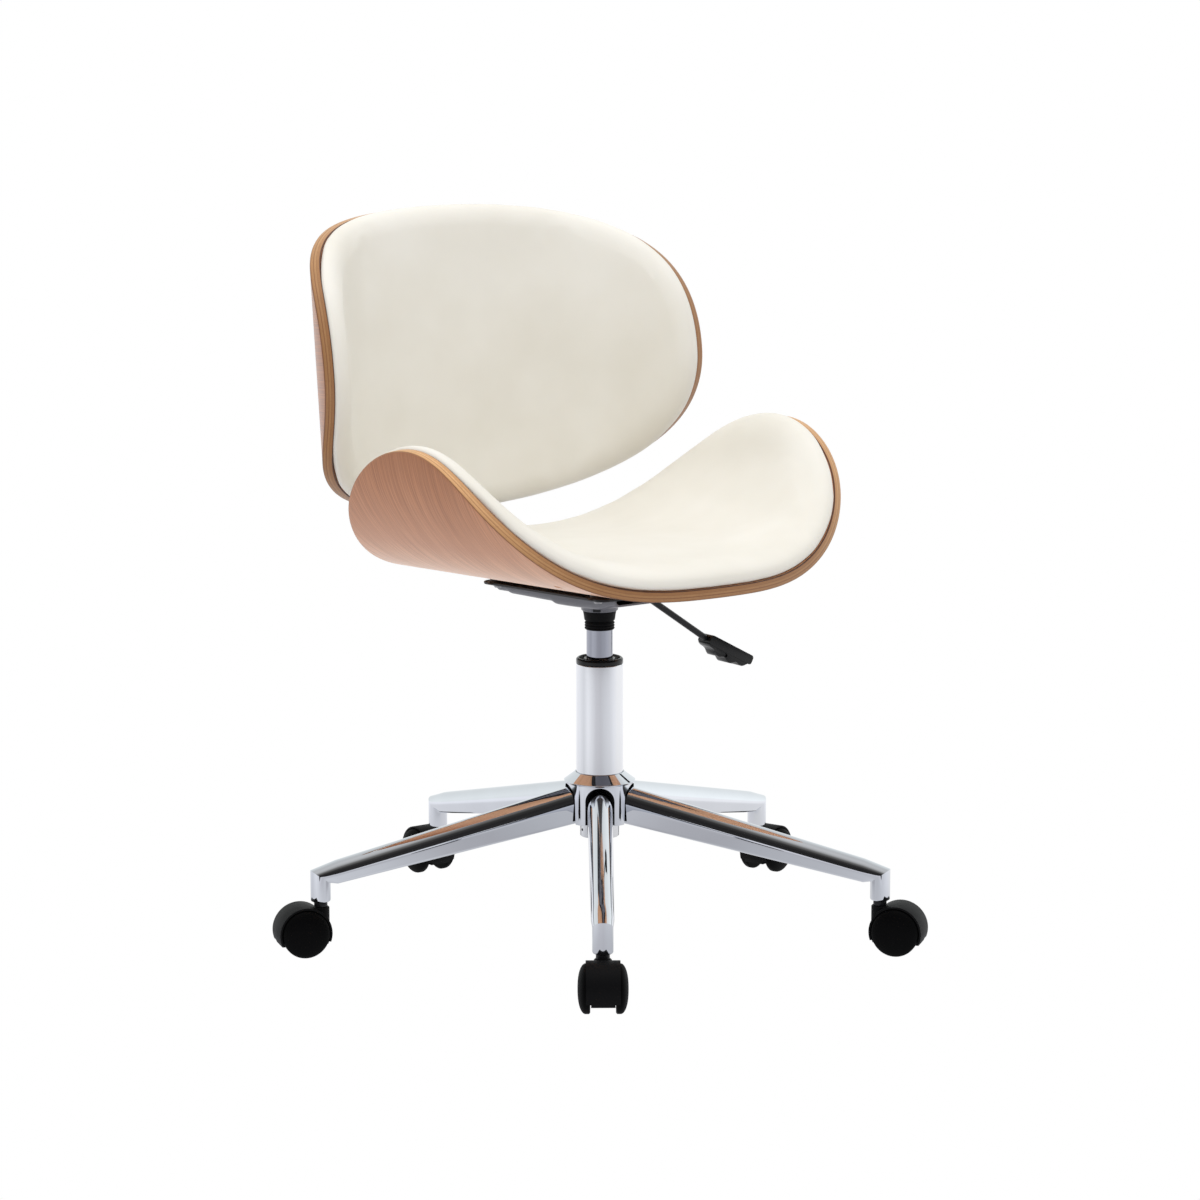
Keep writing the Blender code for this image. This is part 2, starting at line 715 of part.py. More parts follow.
def hood_mesh(root):
    """Return the hood: a body between the wheels, a fender over them and a boss."""
    fender_line = arc(FENDER_OUTER, -HOOD_SWEEP, 180 + HOOD_SWEEP, HOOD_STEPS)
    fender_line += arc(FENDER_INNER, 180 + HOOD_SWEEP, -HOOD_SWEEP, HOOD_STEPS)
    skirt = math.degrees(math.asin((HOOD_CLEARANCE - AXLE_HEIGHT) / FENDER_OUTER))
    body_line = arc(FENDER_OUTER - FACE_STEP, skirt, 180 - skirt, HOOD_STEPS)
    hood = cutter("hood_body", prism("hood_body", body_line, 2 * HOOD_HALF_BODY, "X"), root)
    fender = cutter("hood_fender", prism("hood_fender", fender_line, 2 * HOOD_HALF_FENDER, "X"), root)
    boss_profile = [(0, 0), (BOSS_RADIUS, 0), (BOSS_RADIUS, BOSS_RISE), (0, BOSS_RISE)]
    stem_place = (0, -CASTER_TRAIL, 0)
    boss = cutter("hood_boss", turned("hood_boss", boss_profile, PIN_SIDES), root, stem_place)
    bore = STEM_RADIUS + GAP
    floor = BOSS_RISE - STEM_SEAT - GAP
    bore_profile = [(0, floor), (bore, floor), (bore, 2 * BOSS_RISE), (0, 2 * BOSS_RISE)]
    stem_hole = cutter("stem_hole", turned("stem_hole", bore_profile, PIN_SIDES), root, stem_place)
    past = 2 * HOOD_HALF_BODY
    axle_bore = AXLE_RADIUS + GAP
    axle_profile = [(0, -past), (axle_bore, -past), (axle_bore, past), (0, past)]
    axle_hole = cutter("axle_hole", turned("axle_hole", axle_profile, PIN_SIDES), root)
    axle_hole.rotation_euler.y = math.pi / 2
    boolean(hood, fender, "UNION")
    boolean(hood, boss, "UNION")
    boolean(hood, stem_hole)
    boolean(hood, axle_hole)
    bpy.context.view_layer.update()
    graph = bpy.context.evaluated_depsgraph_get()
    mesh = bpy.data.meshes.new_from_object(hood.evaluated_get(graph))
    mesh.name = "caster_hood"
    for item in (hood, fender, boss, stem_hole, axle_hole):
        bpy.data.objects.remove(item, do_unlink=True)
    mesh.shade_smooth()
    mesh.set_sharp_from_angle(angle=math.radians(35))
    return mesh


def wheel_mesh():
    """Return a wheel: flat tread by the hood, domed outer face and a blind bore."""
    tread = WHEEL_RADIUS / math.cos(math.pi / WHEEL_SIDES)
    bore = AXLE_RADIUS + GAP
    bore_end = WHEEL_INNER + WHEEL_DOME - WHEEL_HUB_WALL + GAP
    shoulder = WHEEL_INNER + WHEEL_TREAD
    swell = WHEEL_DOME - WHEEL_TREAD
    profile = [(0, bore_end), (bore, bore_end), (bore, WHEEL_INNER),
               (tread, WHEEL_INNER), (tread, shoulder)]
    for share in (0.88, 0.55):
        profile.append((tread * share, shoulder + swell * math.sqrt(1 - share ** 2)))
    profile.append((0, WHEEL_INNER + WHEEL_DOME))
    lie_down = Matrix.Rotation(math.pi / 2, 4, "Y") @ Matrix.Rotation(math.pi / WHEEL_SIDES, 4, "Z")
    return turned("caster_wheel", profile, WHEEL_SIDES, (lie_down,))


def build_casters(root, plastic, steel):
    """Five casters, each turned so that it trails away from the column."""
    pin_end = STUB_BOTTOM + STEM_PIN
    seat_end = BOSS_TOP - STEM_SEAT
    collar_low = BOSS_TOP + GAP
    collar_high = collar_low + STEM_COLLAR
    profile = [(0, seat_end), (STEM_RADIUS, seat_end), (STEM_RADIUS, collar_low),
               (STEM_COLLAR_RADIUS, collar_low), (STEM_COLLAR_RADIUS, collar_high),
               (STEM_RADIUS, collar_high), (STEM_RADIUS, pin_end), (0, pin_end)]
    stem = turned("caster_stem", profile, PIN_SIDES)
    half_axle = WHEEL_INNER + WHEEL_DOME - WHEEL_HUB_WALL
    axle_profile = [(0, -half_axle), (AXLE_RADIUS, -half_axle), (AXLE_RADIUS, half_axle), (0, half_axle)]
    axle = turned("caster_axle", axle_profile, PIN_SIDES, (Matrix.Rotation(math.pi / 2, 4, "Y"),))
    hood = hood_mesh(root)
    wheel = wheel_mesh()
    for i in range(ARM_COUNT):
        heading = arm_heading(i)
        stem_place = (-BASE_RADIUS * math.sin(heading), BASE_RADIUS * math.cos(heading), 0)
        swivel = empty(f"caster_swivel_{i + 1}", stem_place, (0, 0, heading), root)
        axle_place = (0, CASTER_TRAIL, AXLE_HEIGHT)
        add(f"caster_stem_{i + 1}", stem, swivel, steel)
        add(f"caster_hood_{i + 1}", hood, swivel, plastic, axle_place)
        add(f"caster_axle_{i + 1}", axle, swivel, steel, axle_place)
        add(f"wheel_right_{i + 1}", wheel, swivel, plastic, axle_place)
        left = add(f"wheel_left_{i + 1}", wheel, swivel, plastic, axle_place)
        left.rotation_euler.z = math.pi


# Column and gas lift

def build_column(root, satin, plastic, steel, rod_steel):
    """Column tube, its bush and bearing, and the gas lift inside."""
    inner = TUBE_RADIUS - TUBE_WALL
    foot_inner = TUBE_FOOT_RADIUS - TUBE_WALL
    hole = ROD_RADIUS + GAP
    floor = TUBE_FOOT + FOOT_WALL
    tube_profile = [(hole, TUBE_FOOT), (TUBE_FOOT_RADIUS, TUBE_FOOT), (TUBE_FOOT_RADIUS, HUB_BOTTOM),
                    (TUBE_RADIUS, HUB_TOP), (TUBE_RADIUS, TUBE_TOP), (inner, TUBE_TOP), (inner, HUB_TOP),
                    (foot_inner, HUB_BOTTOM), (foot_inner, floor), (hole, floor)]
    add("column_tube", turned("column_tube", tube_profile, TUBE_SIDES), root, satin)

    sleeve = inner - GAP
    bore = CYLINDER_RADIUS + GAP
    bush_low = TUBE_TOP - BUSH_LENGTH
    flange_low = TUBE_TOP + GAP
    bush_profile = [(bore, bush_low), (sleeve, bush_low), (sleeve, flange_low), (TUBE_RADIUS, flange_low),
                    (TUBE_RADIUS, BUSH_TOP - BUSH_EASE), (TUBE_RADIUS - BUSH_EASE, BUSH_TOP),
                    (bore + BUSH_EASE, BUSH_TOP), (bore, BUSH_TOP - BUSH_EASE)]
    add("guide_bush", turned("guide_bush", bush_profile, TUBE_SIDES), root, plastic)

    bearing_high = BEARING_BOTTOM + BEARING_HEIGHT
    bearing_profile = [(hole, BEARING_BOTTOM), (BEARING_RADIUS, BEARING_BOTTOM),
                       (BEARING_RADIUS, bearing_high), (hole, bearing_high)]
    add("thrust_bearing", turned("thrust_bearing", bearing_profile, SLEEVE_SIDES), root, steel)

    groove = ROD_RADIUS - CLIP_GROOVE
    rod_foot = TUBE_FOOT - ROD_TAIL
    clip_high = TUBE_FOOT - GAP
    clip_low = clip_high - CLIP_HEIGHT
    shoulder_high = SHOULDER_BOTTOM + ROD_SHOULDER
    piston_high = CHAMBER_TOP - PISTON_DROP
    piston = CYLINDER_RADIUS - CYLINDER_WALL - GAP
    rod_profile = [(0, rod_foot), (ROD_RADIUS, rod_foot), (ROD_RADIUS, clip_low - GAP),
                   (groove, clip_low - GAP), (groove, TUBE_FOOT), (ROD_RADIUS, TUBE_FOOT),
                   (ROD_RADIUS, SHOULDER_BOTTOM), (SHOULDER_RADIUS, SHOULDER_BOTTOM),
                   (SHOULDER_RADIUS, shoulder_high), (ROD_RADIUS, shoulder_high),
                   (ROD_RADIUS, piston_high - PISTON_HEIGHT), (piston, piston_high - PISTON_HEIGHT),
                   (piston, piston_high), (0, piston_high)]
    add("piston_rod", turned("piston_rod", rod_profile, PIN_SIDES), root, rod_steel)
    clip_profile = [(groove + GAP, clip_low), (CLIP_RADIUS, clip_low), (CLIP_RADIUS, clip_high),
                    (groove + GAP, clip_high)]
    add("retaining_clip", turned("retaining_clip", clip_profile, PIN_SIDES), root, steel)

    chamber = CYLINDER_RADIUS - CYLINDER_WALL
    foot = CYLINDER_BOTTOM + PISTON_HEIGHT
    button = BUTTON_RADIUS + GAP
    pocket = BUTTON_TOP - BUTTON_SHOWN - 2 * BUTTON_DEPTH
    shell_profile = [(0, CHAMBER_TOP), (chamber, CHAMBER_TOP), (chamber, foot), (hole, foot),
                     (hole, CYLINDER_BOTTOM), (CYLINDER_RADIUS - FACE_STEP, CYLINDER_BOTTOM),
                     (CYLINDER_RADIUS, CYLINDER_BOTTOM + FACE_STEP), (CYLINDER_RADIUS, COLLAR_TOP),
                     (CYLINDER_NOSE, CYLINDER_TOP), (button, CYLINDER_TOP), (button, pocket), (0, pocket)]
    add("gas_cylinder", turned("gas_cylinder", shell_profile, SLEEVE_SIDES), root, rod_steel)
    button_low = CYLINDER_TOP - BUTTON_DEPTH
    button_profile = [(0, button_low), (BUTTON_RADIUS, button_low), (BUTTON_RADIUS, BUTTON_TOP - FACE_STEP),
                      (BUTTON_RADIUS - FACE_STEP, BUTTON_TOP), (0, BUTTON_TOP)]
    add("release_button", turned("release_button", button_profile, PIN_SIDES), root, steel)

    sleeve_radius = CYLINDER_RADIUS + GAP
    rib = COLLAR_HEIGHT * 0.5 / (2 * COLLAR_RIBS)
    valley = COLLAR_RADIUS - RIB_DEPTH
    collar_profile = [(sleeve_radius, COLLAR_BOTTOM)]
    for i in range(COLLAR_RIBS):
        low = COLLAR_BOTTOM + 2 * i * rib
        collar_profile += [(COLLAR_RADIUS, low), (COLLAR_RADIUS, low + rib),
                           (valley, low + rib), (valley, low + 2 * rib)]
    collar_profile += [(COLLAR_CONE - 2 * RIB_DEPTH, COLLAR_BOTTOM + COLLAR_HEIGHT * 0.55),
                       (COLLAR_CONE, COLLAR_TOP), (sleeve_radius, COLLAR_TOP)]
    add("socket_collar", turned("socket_collar", collar_profile, SLEEVE_SIDES), root, plastic)


# Lift mechanism

def tray_section(place, half_width, top, bottom, radius):
    """Return a channel section with round lower corners."""
    ring = [Vector((half_width, place, top))]
    for side, start in ((1, 0), (-1, -90)):
        for i in range(4):
            angle = math.radians(start - 30 * i)
            ring.append(Vector((side * (half_width - radius) + radius * math.cos(angle), place,
                                bottom + radius + radius * math.sin(angle))))
    ring.append(Vector((-half_width, place, top)))
    return ring


def build_mechanism(rake, root, painted, black, steel):
    """Pressed tray with its socket, top plate, bolts and spacers, in the seat's rake."""
    top = PLATE_BOTTOM - GAP - SEAT_HEIGHT
    stations = ((TRAY_FRONT, TRAY_FRONT_DEPTH), (TRAY_FRONT * 0.55, TRAY_DEPTH * 0.94), (0.0, TRAY_DEPTH),
                (0.0140, TRAY_DEPTH), (0.0260, TRAY_REAR_DEPTH), (TRAY_REAR, TRAY_REAR_DEPTH))
    corner = 3 * TRAY_WALL
    outer = [tray_section(y, TRAY_HALF_WIDTH, top, top - depth, corner) for y, depth in stations]
    tray = add("mechanism_housing", rings_mesh("mechanism_housing", outer), rake, painted)
    past = TRAY_WALL
    inner_stations = [(TRAY_FRONT - past, TRAY_FRONT_DEPTH)] + list(stations[1:-1])
    inner_stations.append((TRAY_REAR - TRAY_WALL, TRAY_REAR_DEPTH))
    inner_width = TRAY_HALF_WIDTH - TRAY_WALL
    inner_corner = corner - TRAY_WALL
    inner = [tray_section(y, inner_width, top + past, top - depth + TRAY_WALL, inner_corner)
             for y, depth in inner_stations]
    boolean(tray, cutter("tray_inside", rings_mesh("tray_inside", inner), rake))

    low = COLLAR_TOP + GAP
    high = TRAY_BOTTOM + TRAY_WALL / 2
    boss_profile = [(0, low), (TRAY_BOSS_RADIUS, low),
                    (TRAY_BOSS_RADIUS + 2 * FACE_STEP, low + 0.35 * TRAY_BOSS_HEIGHT),
                    (TRAY_BOSS_FLARE * 0.75, low + 0.75 * TRAY_BOSS_HEIGHT),
                    (TRAY_BOSS_FLARE, high), (0, high)]
    boolean(tray, cutter("tray_boss", turned("tray_boss", boss_profile, SLEEVE_SIDES), root), "UNION")
    socket_low = CYLINDER_RADIUS + GAP
    socket_high = CYLINDER_NOSE + 2 * GAP
    bore_profile = [(0, low - TRAY_WALL), (socket_low, low - TRAY_WALL), (socket_low, low),
                    (socket_high, CYLINDER_TOP), (socket_high, PLATE_TOP), (0, PLATE_TOP)]
    boolean(tray, cutter("tray_bore", turned("tray_bore", bore_profile, SLEEVE_SIDES), root))
    half_notch = LEVER_RADIUS + TRAY_WALL
    notch_low = (TRAY_HALF_WIDTH - 4 * TRAY_WALL, -half_notch, TRAY_BOTTOM - TRAY_WALL)
    notch_high = (TRAY_HALF_WIDTH + TRAY_WALL, half_notch, PLATE_TOP)
    notch = block("lever_notch", notch_low, notch_high)
    boolean(tray, cutter("lever_notch", notch, root))

    plate_low = PLATE_BOTTOM - SEAT_HEIGHT
    plate_high = PLATE_TOP - SEAT_HEIGHT
    outline = rounded_rectangle(-PLATE_HALF_WIDTH, PLATE_HALF_WIDTH, PLATE_FRONT, PLATE_REAR, PLATE_CORNER)
    plate_rings = [[Vector((x, y, z)) for x, y in outline] for z in (plate_low, plate_high)]
    plate = add("mechanism_plate", rings_mesh("mechanism_plate", plate_rings), rake, black)
    spots = [(side * PLATE_BOLT_X, y) for y in (PLATE_BOLT_FRONT, PLATE_BOLT_REAR) for side in (-1, 1)]
    downward = Matrix.Rotation(math.pi, 4, "X")
    places = [Matrix.Translation((x, y, plate_low - GAP)) @ downward for x, y in spots]
    hole = BOLT_RADIUS + GAP
    past = 8 * PLATE_THICKNESS
    hole_profile = [(0, -past), (hole, -past), (hole, PLATE_THICKNESS), (0, PLATE_THICKNESS)]
    # Pressed-up seats fill the space between the plate and the shell at each bolt
    seat_high = SEAT.bend.at(PLATE_BOLT_X - NUT_FLANGE_RADIUS, 0.0)[1] - GAP
    sunk = plate_high - PLATE_THICKNESS / 2
    seat_profile = [(0, sunk), (NUT_FLANGE_RADIUS, sunk), (NUT_FLANGE_RADIUS, seat_high), (0, seat_high)]
    seat_places = [Matrix.Translation((x, y, 0)) for x, y in spots]
    seats = turned("plate_seats", seat_profile, PIN_SIDES, seat_places)
    boolean(plate, cutter("plate_seats", seats, rake), "UNION")
    boolean(plate, cutter("plate_holes", turned("plate_holes", hole_profile, BOLT_SIDES, places), rake))
    rise = SEAT.bend.at(PLATE_BOLT_X, 0.0)[1]
    grip = rise + PLY - NUT_SINK - plate_low + GAP
    add_bolts("plate_bolt", places, grip, rake, steel)
    return [Matrix.Translation((x, y, rise)) @ downward for x, y in spots]


# Lift lever

def build_lever(root, steel, plastic):
    """Rod on its pivot, the yoke that holds it and the moulded paddle."""
    pivot = empty("lever_hinge", (LEVER_PIVOT_X, 0, LEVER_HEIGHT), parent=root)
    drop = math.tan(math.radians(LEVER_SLOPE))
    bend = Vector((LEVER_BEND_X - LEVER_PIVOT_X, 0, 0))
    start = Vector((-LEVER_PIVOT_X - LEVER_INNER, 0, 0))
    run = LEVER_REACH - LEVER_BEND_X
    end = bend + Vector((run, 0, -run * drop))
    path = [start] + fillet(start, bend, end, 4 * LEVER_RADIUS, 5) + [end]
    rod = add("lever_rod", swept("lever_rod", path, LEVER_RADIUS, PIN_SIDES), pivot, steel)
    lie_across = Matrix.Rotation(math.pi / 2, 4, "X")
    hole = PIVOT_RADIUS + GAP
    hole_profile = [(0, -PIVOT_LENGTH), (hole, -PIVOT_LENGTH), (hole, PIVOT_LENGTH), (0, PIVOT_LENGTH)]
    boolean(rod, cutter("pivot_hole", turned("pivot_hole", hole_profile, BOLT_SIDES, (lie_across,)), pivot))

    pin_profile = [(0, -PIVOT_LENGTH / 2), (PIVOT_RADIUS, -PIVOT_LENGTH / 2),
                   (PIVOT_RADIUS, PIVOT_LENGTH / 2), (0, PIVOT_LENGTH / 2)]
    add("lever_pivot", turned("lever_pivot", pin_profile, BOLT_SIDES, (lie_across,)), root, steel,
        (LEVER_PIVOT_X, 0, LEVER_HEIGHT))
    high = PLATE_BOTTOM - GAP - LEVER_HEIGHT
    low = -LEVER_RADIUS
    inner = YOKE_INNER
    outer = YOKE_INNER + YOKE_WALL
    outline = [(-outer, low), (-inner, low), (-inner, high - YOKE_WALL), (inner, high - YOKE_WALL),
               (inner, low), (outer, low), (outer, high), (-outer, high)]
    yoke = add("lever_yoke", prism("lever_yoke", outline, YOKE_LENGTH, "X"), root, steel,
               (LEVER_PIVOT_X, 0, LEVER_HEIGHT))
    yoke_hole = cutter("yoke_hole", turned("yoke_hole", hole_profile, BOLT_SIDES, (lie_across,)), root,
                       (LEVER_PIVOT_X, 0, LEVER_HEIGHT))
    boolean(yoke, yoke_hole)

    # The paddle's side view runs along its own slope, from where the rod enters
    steps = 8 * PADDLE_GRIPS
    outline = [(0, PADDLE_ROOT * 0.5), (PADDLE_ROOT * 0.4, PADDLE_ROOT * 0.62),
               (PADDLE_LENGTH, PADDLE_ROOT * 0.40)]
    for i in range(steps + 1):
        share = 1 - i / steps
        belly = PADDLE_BELLY * math.sin(math.pi * min(share * 0.85 + 0.05, 1.0)) ** 1.2
        wave = PADDLE_GRIP_DEPTH * math.cos(math.tau * PADDLE_GRIPS * share) * (0.4 + 0.6 * share)
        outline.append((PADDLE_LENGTH * share, -PADDLE_ROOT * 0.5 - belly - wave * min(share * 4, 1)))
    paddle = add("lever_paddle", prism("lever_paddle", outline, 2 * PADDLE_HALF_WIDTH), pivot, plastic)
    entry = bend + Vector((PADDLE_START - LEVER_BEND_X, 0, -(PADDLE_START - LEVER_BEND_X) * drop))
    paddle.location = entry
    paddle.rotation_euler.y = math.radians(PADDLE_SLOPE)
    bevel = paddle.modifiers.new("edges", "BEVEL")
    bevel.width = PADDLE_EASE
    bevel.segments = 1
    bevel.limit_method = "ANGLE"
    bevel.angle_limit = math.radians(50)
    depth = (LEVER_REACH - PADDLE_START) / math.cos(math.radians(LEVER_SLOPE)) + GAP
    bore = LEVER_RADIUS + GAP
    bore_profile = [(0, -depth), (bore, -depth), (bore, depth), (0, depth)]
    lie_along = Matrix.Rotation(math.pi / 2 + math.radians(LEVER_SLOPE), 4, "Y")
    tool = cutter("paddle_bore", turned("paddle_bore", bore_profile, PIN_SIDES, (lie_along,)), pivot, entry)
    boolean(paddle, tool)


# Seat, back and the bracket between them

SEAT = Panel(SEAT_HALF, SEAT_FRONT, SEAT_MIDDLE, SEAT_REAR, SEAT_HANDLES, SEAT_BEND, SEAT_BEND_ANGLE, False)
BACK = Panel(BACK_HALF, BACK_LOW, BACK_MIDDLE, BACK_HIGH, BACK_HANDLES, BACK_BEND, BACK_BEND_ANGLE, True)


def bracket_path():
    """Return the bracket's middle line, from under the seat to behind the back."""
    seat_turn = Matrix.Rotation(-math.radians(SEAT_RAKE), 3, "X")
    back_turn = Matrix.Rotation(-math.radians(BACK_RAKE), 3, "X")
    offset = GAP + BRACKET_THICKNESS / 2
    seat_origin = Vector((0, 0, SEAT_HEIGHT))
    back_origin = Vector((0, BACK_Y, BACK_HEIGHT))
    start = seat_origin + seat_turn @ Vector((0, PLATE_FRONT, -offset))
    along = seat_turn @ Vector((0, 1, 0))
    top = back_origin + back_turn @ Vector((0, offset, BRACKET_TOP))
    down = back_turn @ Vector((0, 0, -1))
    reach = ((top - start).y * down.z - (top - start).z * down.y) / (along.y * down.z - along.z * down.y)
    corner = start + along * reach
    return [start] + fillet(start, corner, top, BRACKET_BEND, 8) + [top]


def bracket_mesh():
    """Return the bent flat bar."""
    path = bracket_path()
    rings = []
    for i, point in enumerate(path):
        before = path[max(i - 1, 0)]
        after = path[min(i + 1, len(path) - 1)]
        along = (after - before).normalized()
        up = Vector((0, -along.z, along.y))
        if 0 < i < len(path) - 1:
            spread = 1 / math.cos((point - before).angle(after - point) / 2)
        else:
            spread = 1
        half = up * BRACKET_THICKNESS / 2 * spread
        side = Vector((BRACKET_HALF_WIDTH, 0, 0))
        rings.append([point - side - half, point + side - half, point + side + half, point - side + half])
    return rings_mesh("back_bracket", rings)


def build_seat(rake, cover, wood, nut_places):
    """Seat shell, drilled for its bolts and pad screws, and its pad."""
    shell = add("seat_shell", SEAT.shell_mesh("seat_shell"), rake, wood)
    add("seat_cushion", SEAT.pad_mesh("seat_cushion", SEAT_PAD_EDGE, SEAT_PAD_CROWN), rake, cover)
    boolean(shell, cutter("seat_nut_seats", nut_seat_mesh("seat_nut_seats", nut_places), rake))
    places = SEAT.both_sides(SEAT_SCREWS, 0.0)
    boolean(shell, cutter("seat_screw_seats", screw_seat_mesh("seat_screw_seats", places), rake))


def build_back(root, rake, cover, wood, steel, black):
    """Back shell, pad and fasteners, and the bracket that carries them."""
    lean = empty("back_rake", (0, BACK_Y, BACK_HEIGHT), (-math.radians(BACK_RAKE), 0, 0), root)
    bracket = add("back_bracket", bracket_mesh(), root, black)
    spots = [(BRACKET_BOLT_X, v) for v in BRACKET_BACK_BOLTS]
    bar_out = GAP + BRACKET_THICKNESS + GAP
    backward = Matrix.Rotation(-math.pi / 2, 4, "X")
    places = [Matrix.Translation((side * s, 0, v)) @ backward for s, v in spots for side in (-1, 1)]
    bolt_places = [Matrix.Translation((0, bar_out, 0)) @ place for place in places]
    hole = BOLT_RADIUS + GAP
    hole_profile = [(0, -BRACKET_THICKNESS), (hole, -BRACKET_THICKNESS), (hole, 2 * BRACKET_THICKNESS),
                    (0, 2 * BRACKET_THICKNESS)]
    back_holes = turned("bracket_back_holes", hole_profile, BOLT_SIDES, places)
    boolean(bracket, cutter("bracket_back_holes", back_holes, lean))

    shell = add("back_shell", BACK.shell_mesh("back_shell"), lean, wood)
    add("back_cushion", BACK.pad_mesh("back_cushion", BACK_PAD_EDGE, BACK_PAD_CROWN), lean, cover)
    boolean(shell, cutter("back_nut_seats", nut_seat_mesh("back_nut_seats", places), lean))
    grip = bar_out + PLY - NUT_SINK
    add_bolts("back_bolt", bolt_places, grip, lean, steel)
    screw_places = BACK.both_sides(BACK_SCREWS, 0.0)
    boolean(shell, cutter("back_screw_seats", screw_seat_mesh("back_screw_seats", screw_places), lean))

    # The two bolts that hold the bracket to the seat shell, behind the mechanism
    downward = Matrix.Rotation(math.pi, 4, "X")
    seat_places = [Matrix.Translation((side * BRACKET_BOLT_X, BRACKET_SEAT_BOLT_Y, 0)) @ downward
                   for side in (-1, 1)]
    bolt_places = [Matrix.Translation((0, 0, -bar_out)) @ place for place in seat_places]
    seat_holes = turned("bracket_seat_holes", hole_profile, BOLT_SIDES, seat_places)
    boolean(bracket, cutter("bracket_seat_holes", seat_holes, rake))
    add_bolts("seat_bolt", bolt_places, grip, rake, steel)
    return seat_places


def build_chair():
    """Build every piece from the floor upwards."""
    clear_scene()
    chrome = finish("chrome", (0.78, 0.79, 0.80), 0.08, 1.0)
    satin = finish("satin_chrome", (0.82, 0.82, 0.85), 0.25, 1.0)
    rod_steel = finish("ground_steel", (0.55, 0.60, 0.66), 0.22, 1.0)
    steel = finish("zinc_steel", (0.45, 0.45, 0.46), 0.35, 1.0)
    black_steel = finish("black_steel", (0.015, 0.015, 0.017), 0.45)
    painted = finish("grey_paint", (0.16, 0.16, 0.18), 0.40)
    plastic = finish("black_plastic", (0.012, 0.012, 0.013), 0.50)
    wood = finish("plywood", (0.46, 0.24, 0.14), 0.45)
    cover = finish("cream_cover", (0.80, 0.76, 0.68), 0.50)

    root = empty("column", (0, COLUMN_Y, 0))
    rake = empty("seat_rake", (0, 0, SEAT_HEIGHT), (-math.radians(SEAT_RAKE), 0, 0), root)
    build_base(root, chrome)
    build_casters(root, plastic, steel)
    build_column(root, satin, plastic, steel, rod_steel)
    nut_places = build_mechanism(rake, root, painted, black_steel, steel)
    build_lever(root, black_steel, plastic)
    nut_places += build_back(root, rake, cover, wood, steel, black_steel)
    build_seat(rake, cover, wood, nut_places)


build_chair()
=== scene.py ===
"""Looks of a swivel office chair with two bent plywood shells, cream pads and a chromed base.

Lengths are in metres, +Z is up and the chair faces -Y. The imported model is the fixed
frame, and each fine piece stands where its plain solid does.
"""
import math

import bmesh
import bpy
import numpy as np
from mathutils import Matrix, Vector


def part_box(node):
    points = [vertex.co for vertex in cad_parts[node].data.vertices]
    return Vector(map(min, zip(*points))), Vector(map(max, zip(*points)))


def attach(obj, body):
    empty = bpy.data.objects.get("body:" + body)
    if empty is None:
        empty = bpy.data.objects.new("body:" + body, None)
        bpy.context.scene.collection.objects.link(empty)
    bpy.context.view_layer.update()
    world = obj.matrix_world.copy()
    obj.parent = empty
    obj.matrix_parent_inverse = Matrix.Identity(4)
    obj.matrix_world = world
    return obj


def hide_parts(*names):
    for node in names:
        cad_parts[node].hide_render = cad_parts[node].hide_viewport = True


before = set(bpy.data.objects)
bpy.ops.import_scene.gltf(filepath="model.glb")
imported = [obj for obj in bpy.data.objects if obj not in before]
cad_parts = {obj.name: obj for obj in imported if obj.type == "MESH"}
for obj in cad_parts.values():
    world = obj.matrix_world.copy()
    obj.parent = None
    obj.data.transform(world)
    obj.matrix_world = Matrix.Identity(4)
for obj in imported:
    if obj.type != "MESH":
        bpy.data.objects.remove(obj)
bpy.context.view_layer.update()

# Places read from the frame
column_low, column_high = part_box("column_tube")
hub_low, hub_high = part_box("base_hub")
COLUMN = Vector((0.0, (column_low.y + column_high.y) / 2, 0.0))

# Camera, fitted to the column, the five arms and the casters
VIEW_TURN = 36.6
VIEW_AWAY = (math.sin(math.radians(VIEW_TURN)), math.cos(math.radians(VIEW_TURN)), 0.0)
VIEW_RIGHT = (VIEW_AWAY[1], -VIEW_AWAY[0], 0.0)
VIEW_PITCH = 9.785
VIEW_DISTANCE = 3.98
VIEW_HEIGHT = 1.0444
VIEW_SIDE = 0.0004
LENS = 114.60
SENSOR = 36.0

# Bent shells: nearly the plain solids' curves, bent a little more at the wings
GAP = 0.0003
PLY = 0.0110
SEAT_RAKE = 2.33
SEAT_HALF = 0.3282
SEAT_LINE = (-0.2103, -0.0092, 0.2294)
SEAT_HANDLES = (0.0935, 0.1373, 0.1235, 0.1692)
SEAT_BENDS = ((0.0209, 0.3549, 72.1), (0.2344, 0.3503, 14.1))     # start, end and degrees of each
BACK_RAKE = 5.60
BACK_Y = 0.2881
BACK_RISE = 0.2013
BACK_HALF = 0.3135
BACK_LINE = (-0.1578, 0.0005, 0.1746)
BACK_HANDLES = (0.1696, 0.1001, 0.0966, 0.2402)
BACK_BENDS = ((0.0000, 0.3010, 53.6), (0.2133, 0.3465, 23.2))
BEND_STEP = 0.0005
BEND_SPARE = 60                 # steps past a shell's edge
OUTLINE_STEPS = 72              # points on a quarter of a shell's outline
FACE_RINGS = 64
EDGE_ROUND = 0.0013
EDGE_STEPS = 4
SEAT_SCREWS = ((0.1220, 0.1630), (0.1470, -0.1260))
BACK_SCREWS = ((0.1350, -0.0700), (0.1350, 0.0900))
SCREW_HEAD_RADIUS = 0.0046
SCREW_HOLE_RADIUS = 0.0022
SCREW_SEAT_DEPTH = 0.0030
SCREW_SINK = 0.0026             # how deep a pad screw sits in its seat
# Painted shade on each shell's edge: how far round from the middle of its lower side the edge stays painted
# darker
SEAT_EDGE_PAINTED_SHADE = 0.0
BACK_EDGE_PAINTED_SHADE = 0.3300             # how much further round its edge the back's plies stay painted darker as painted shade
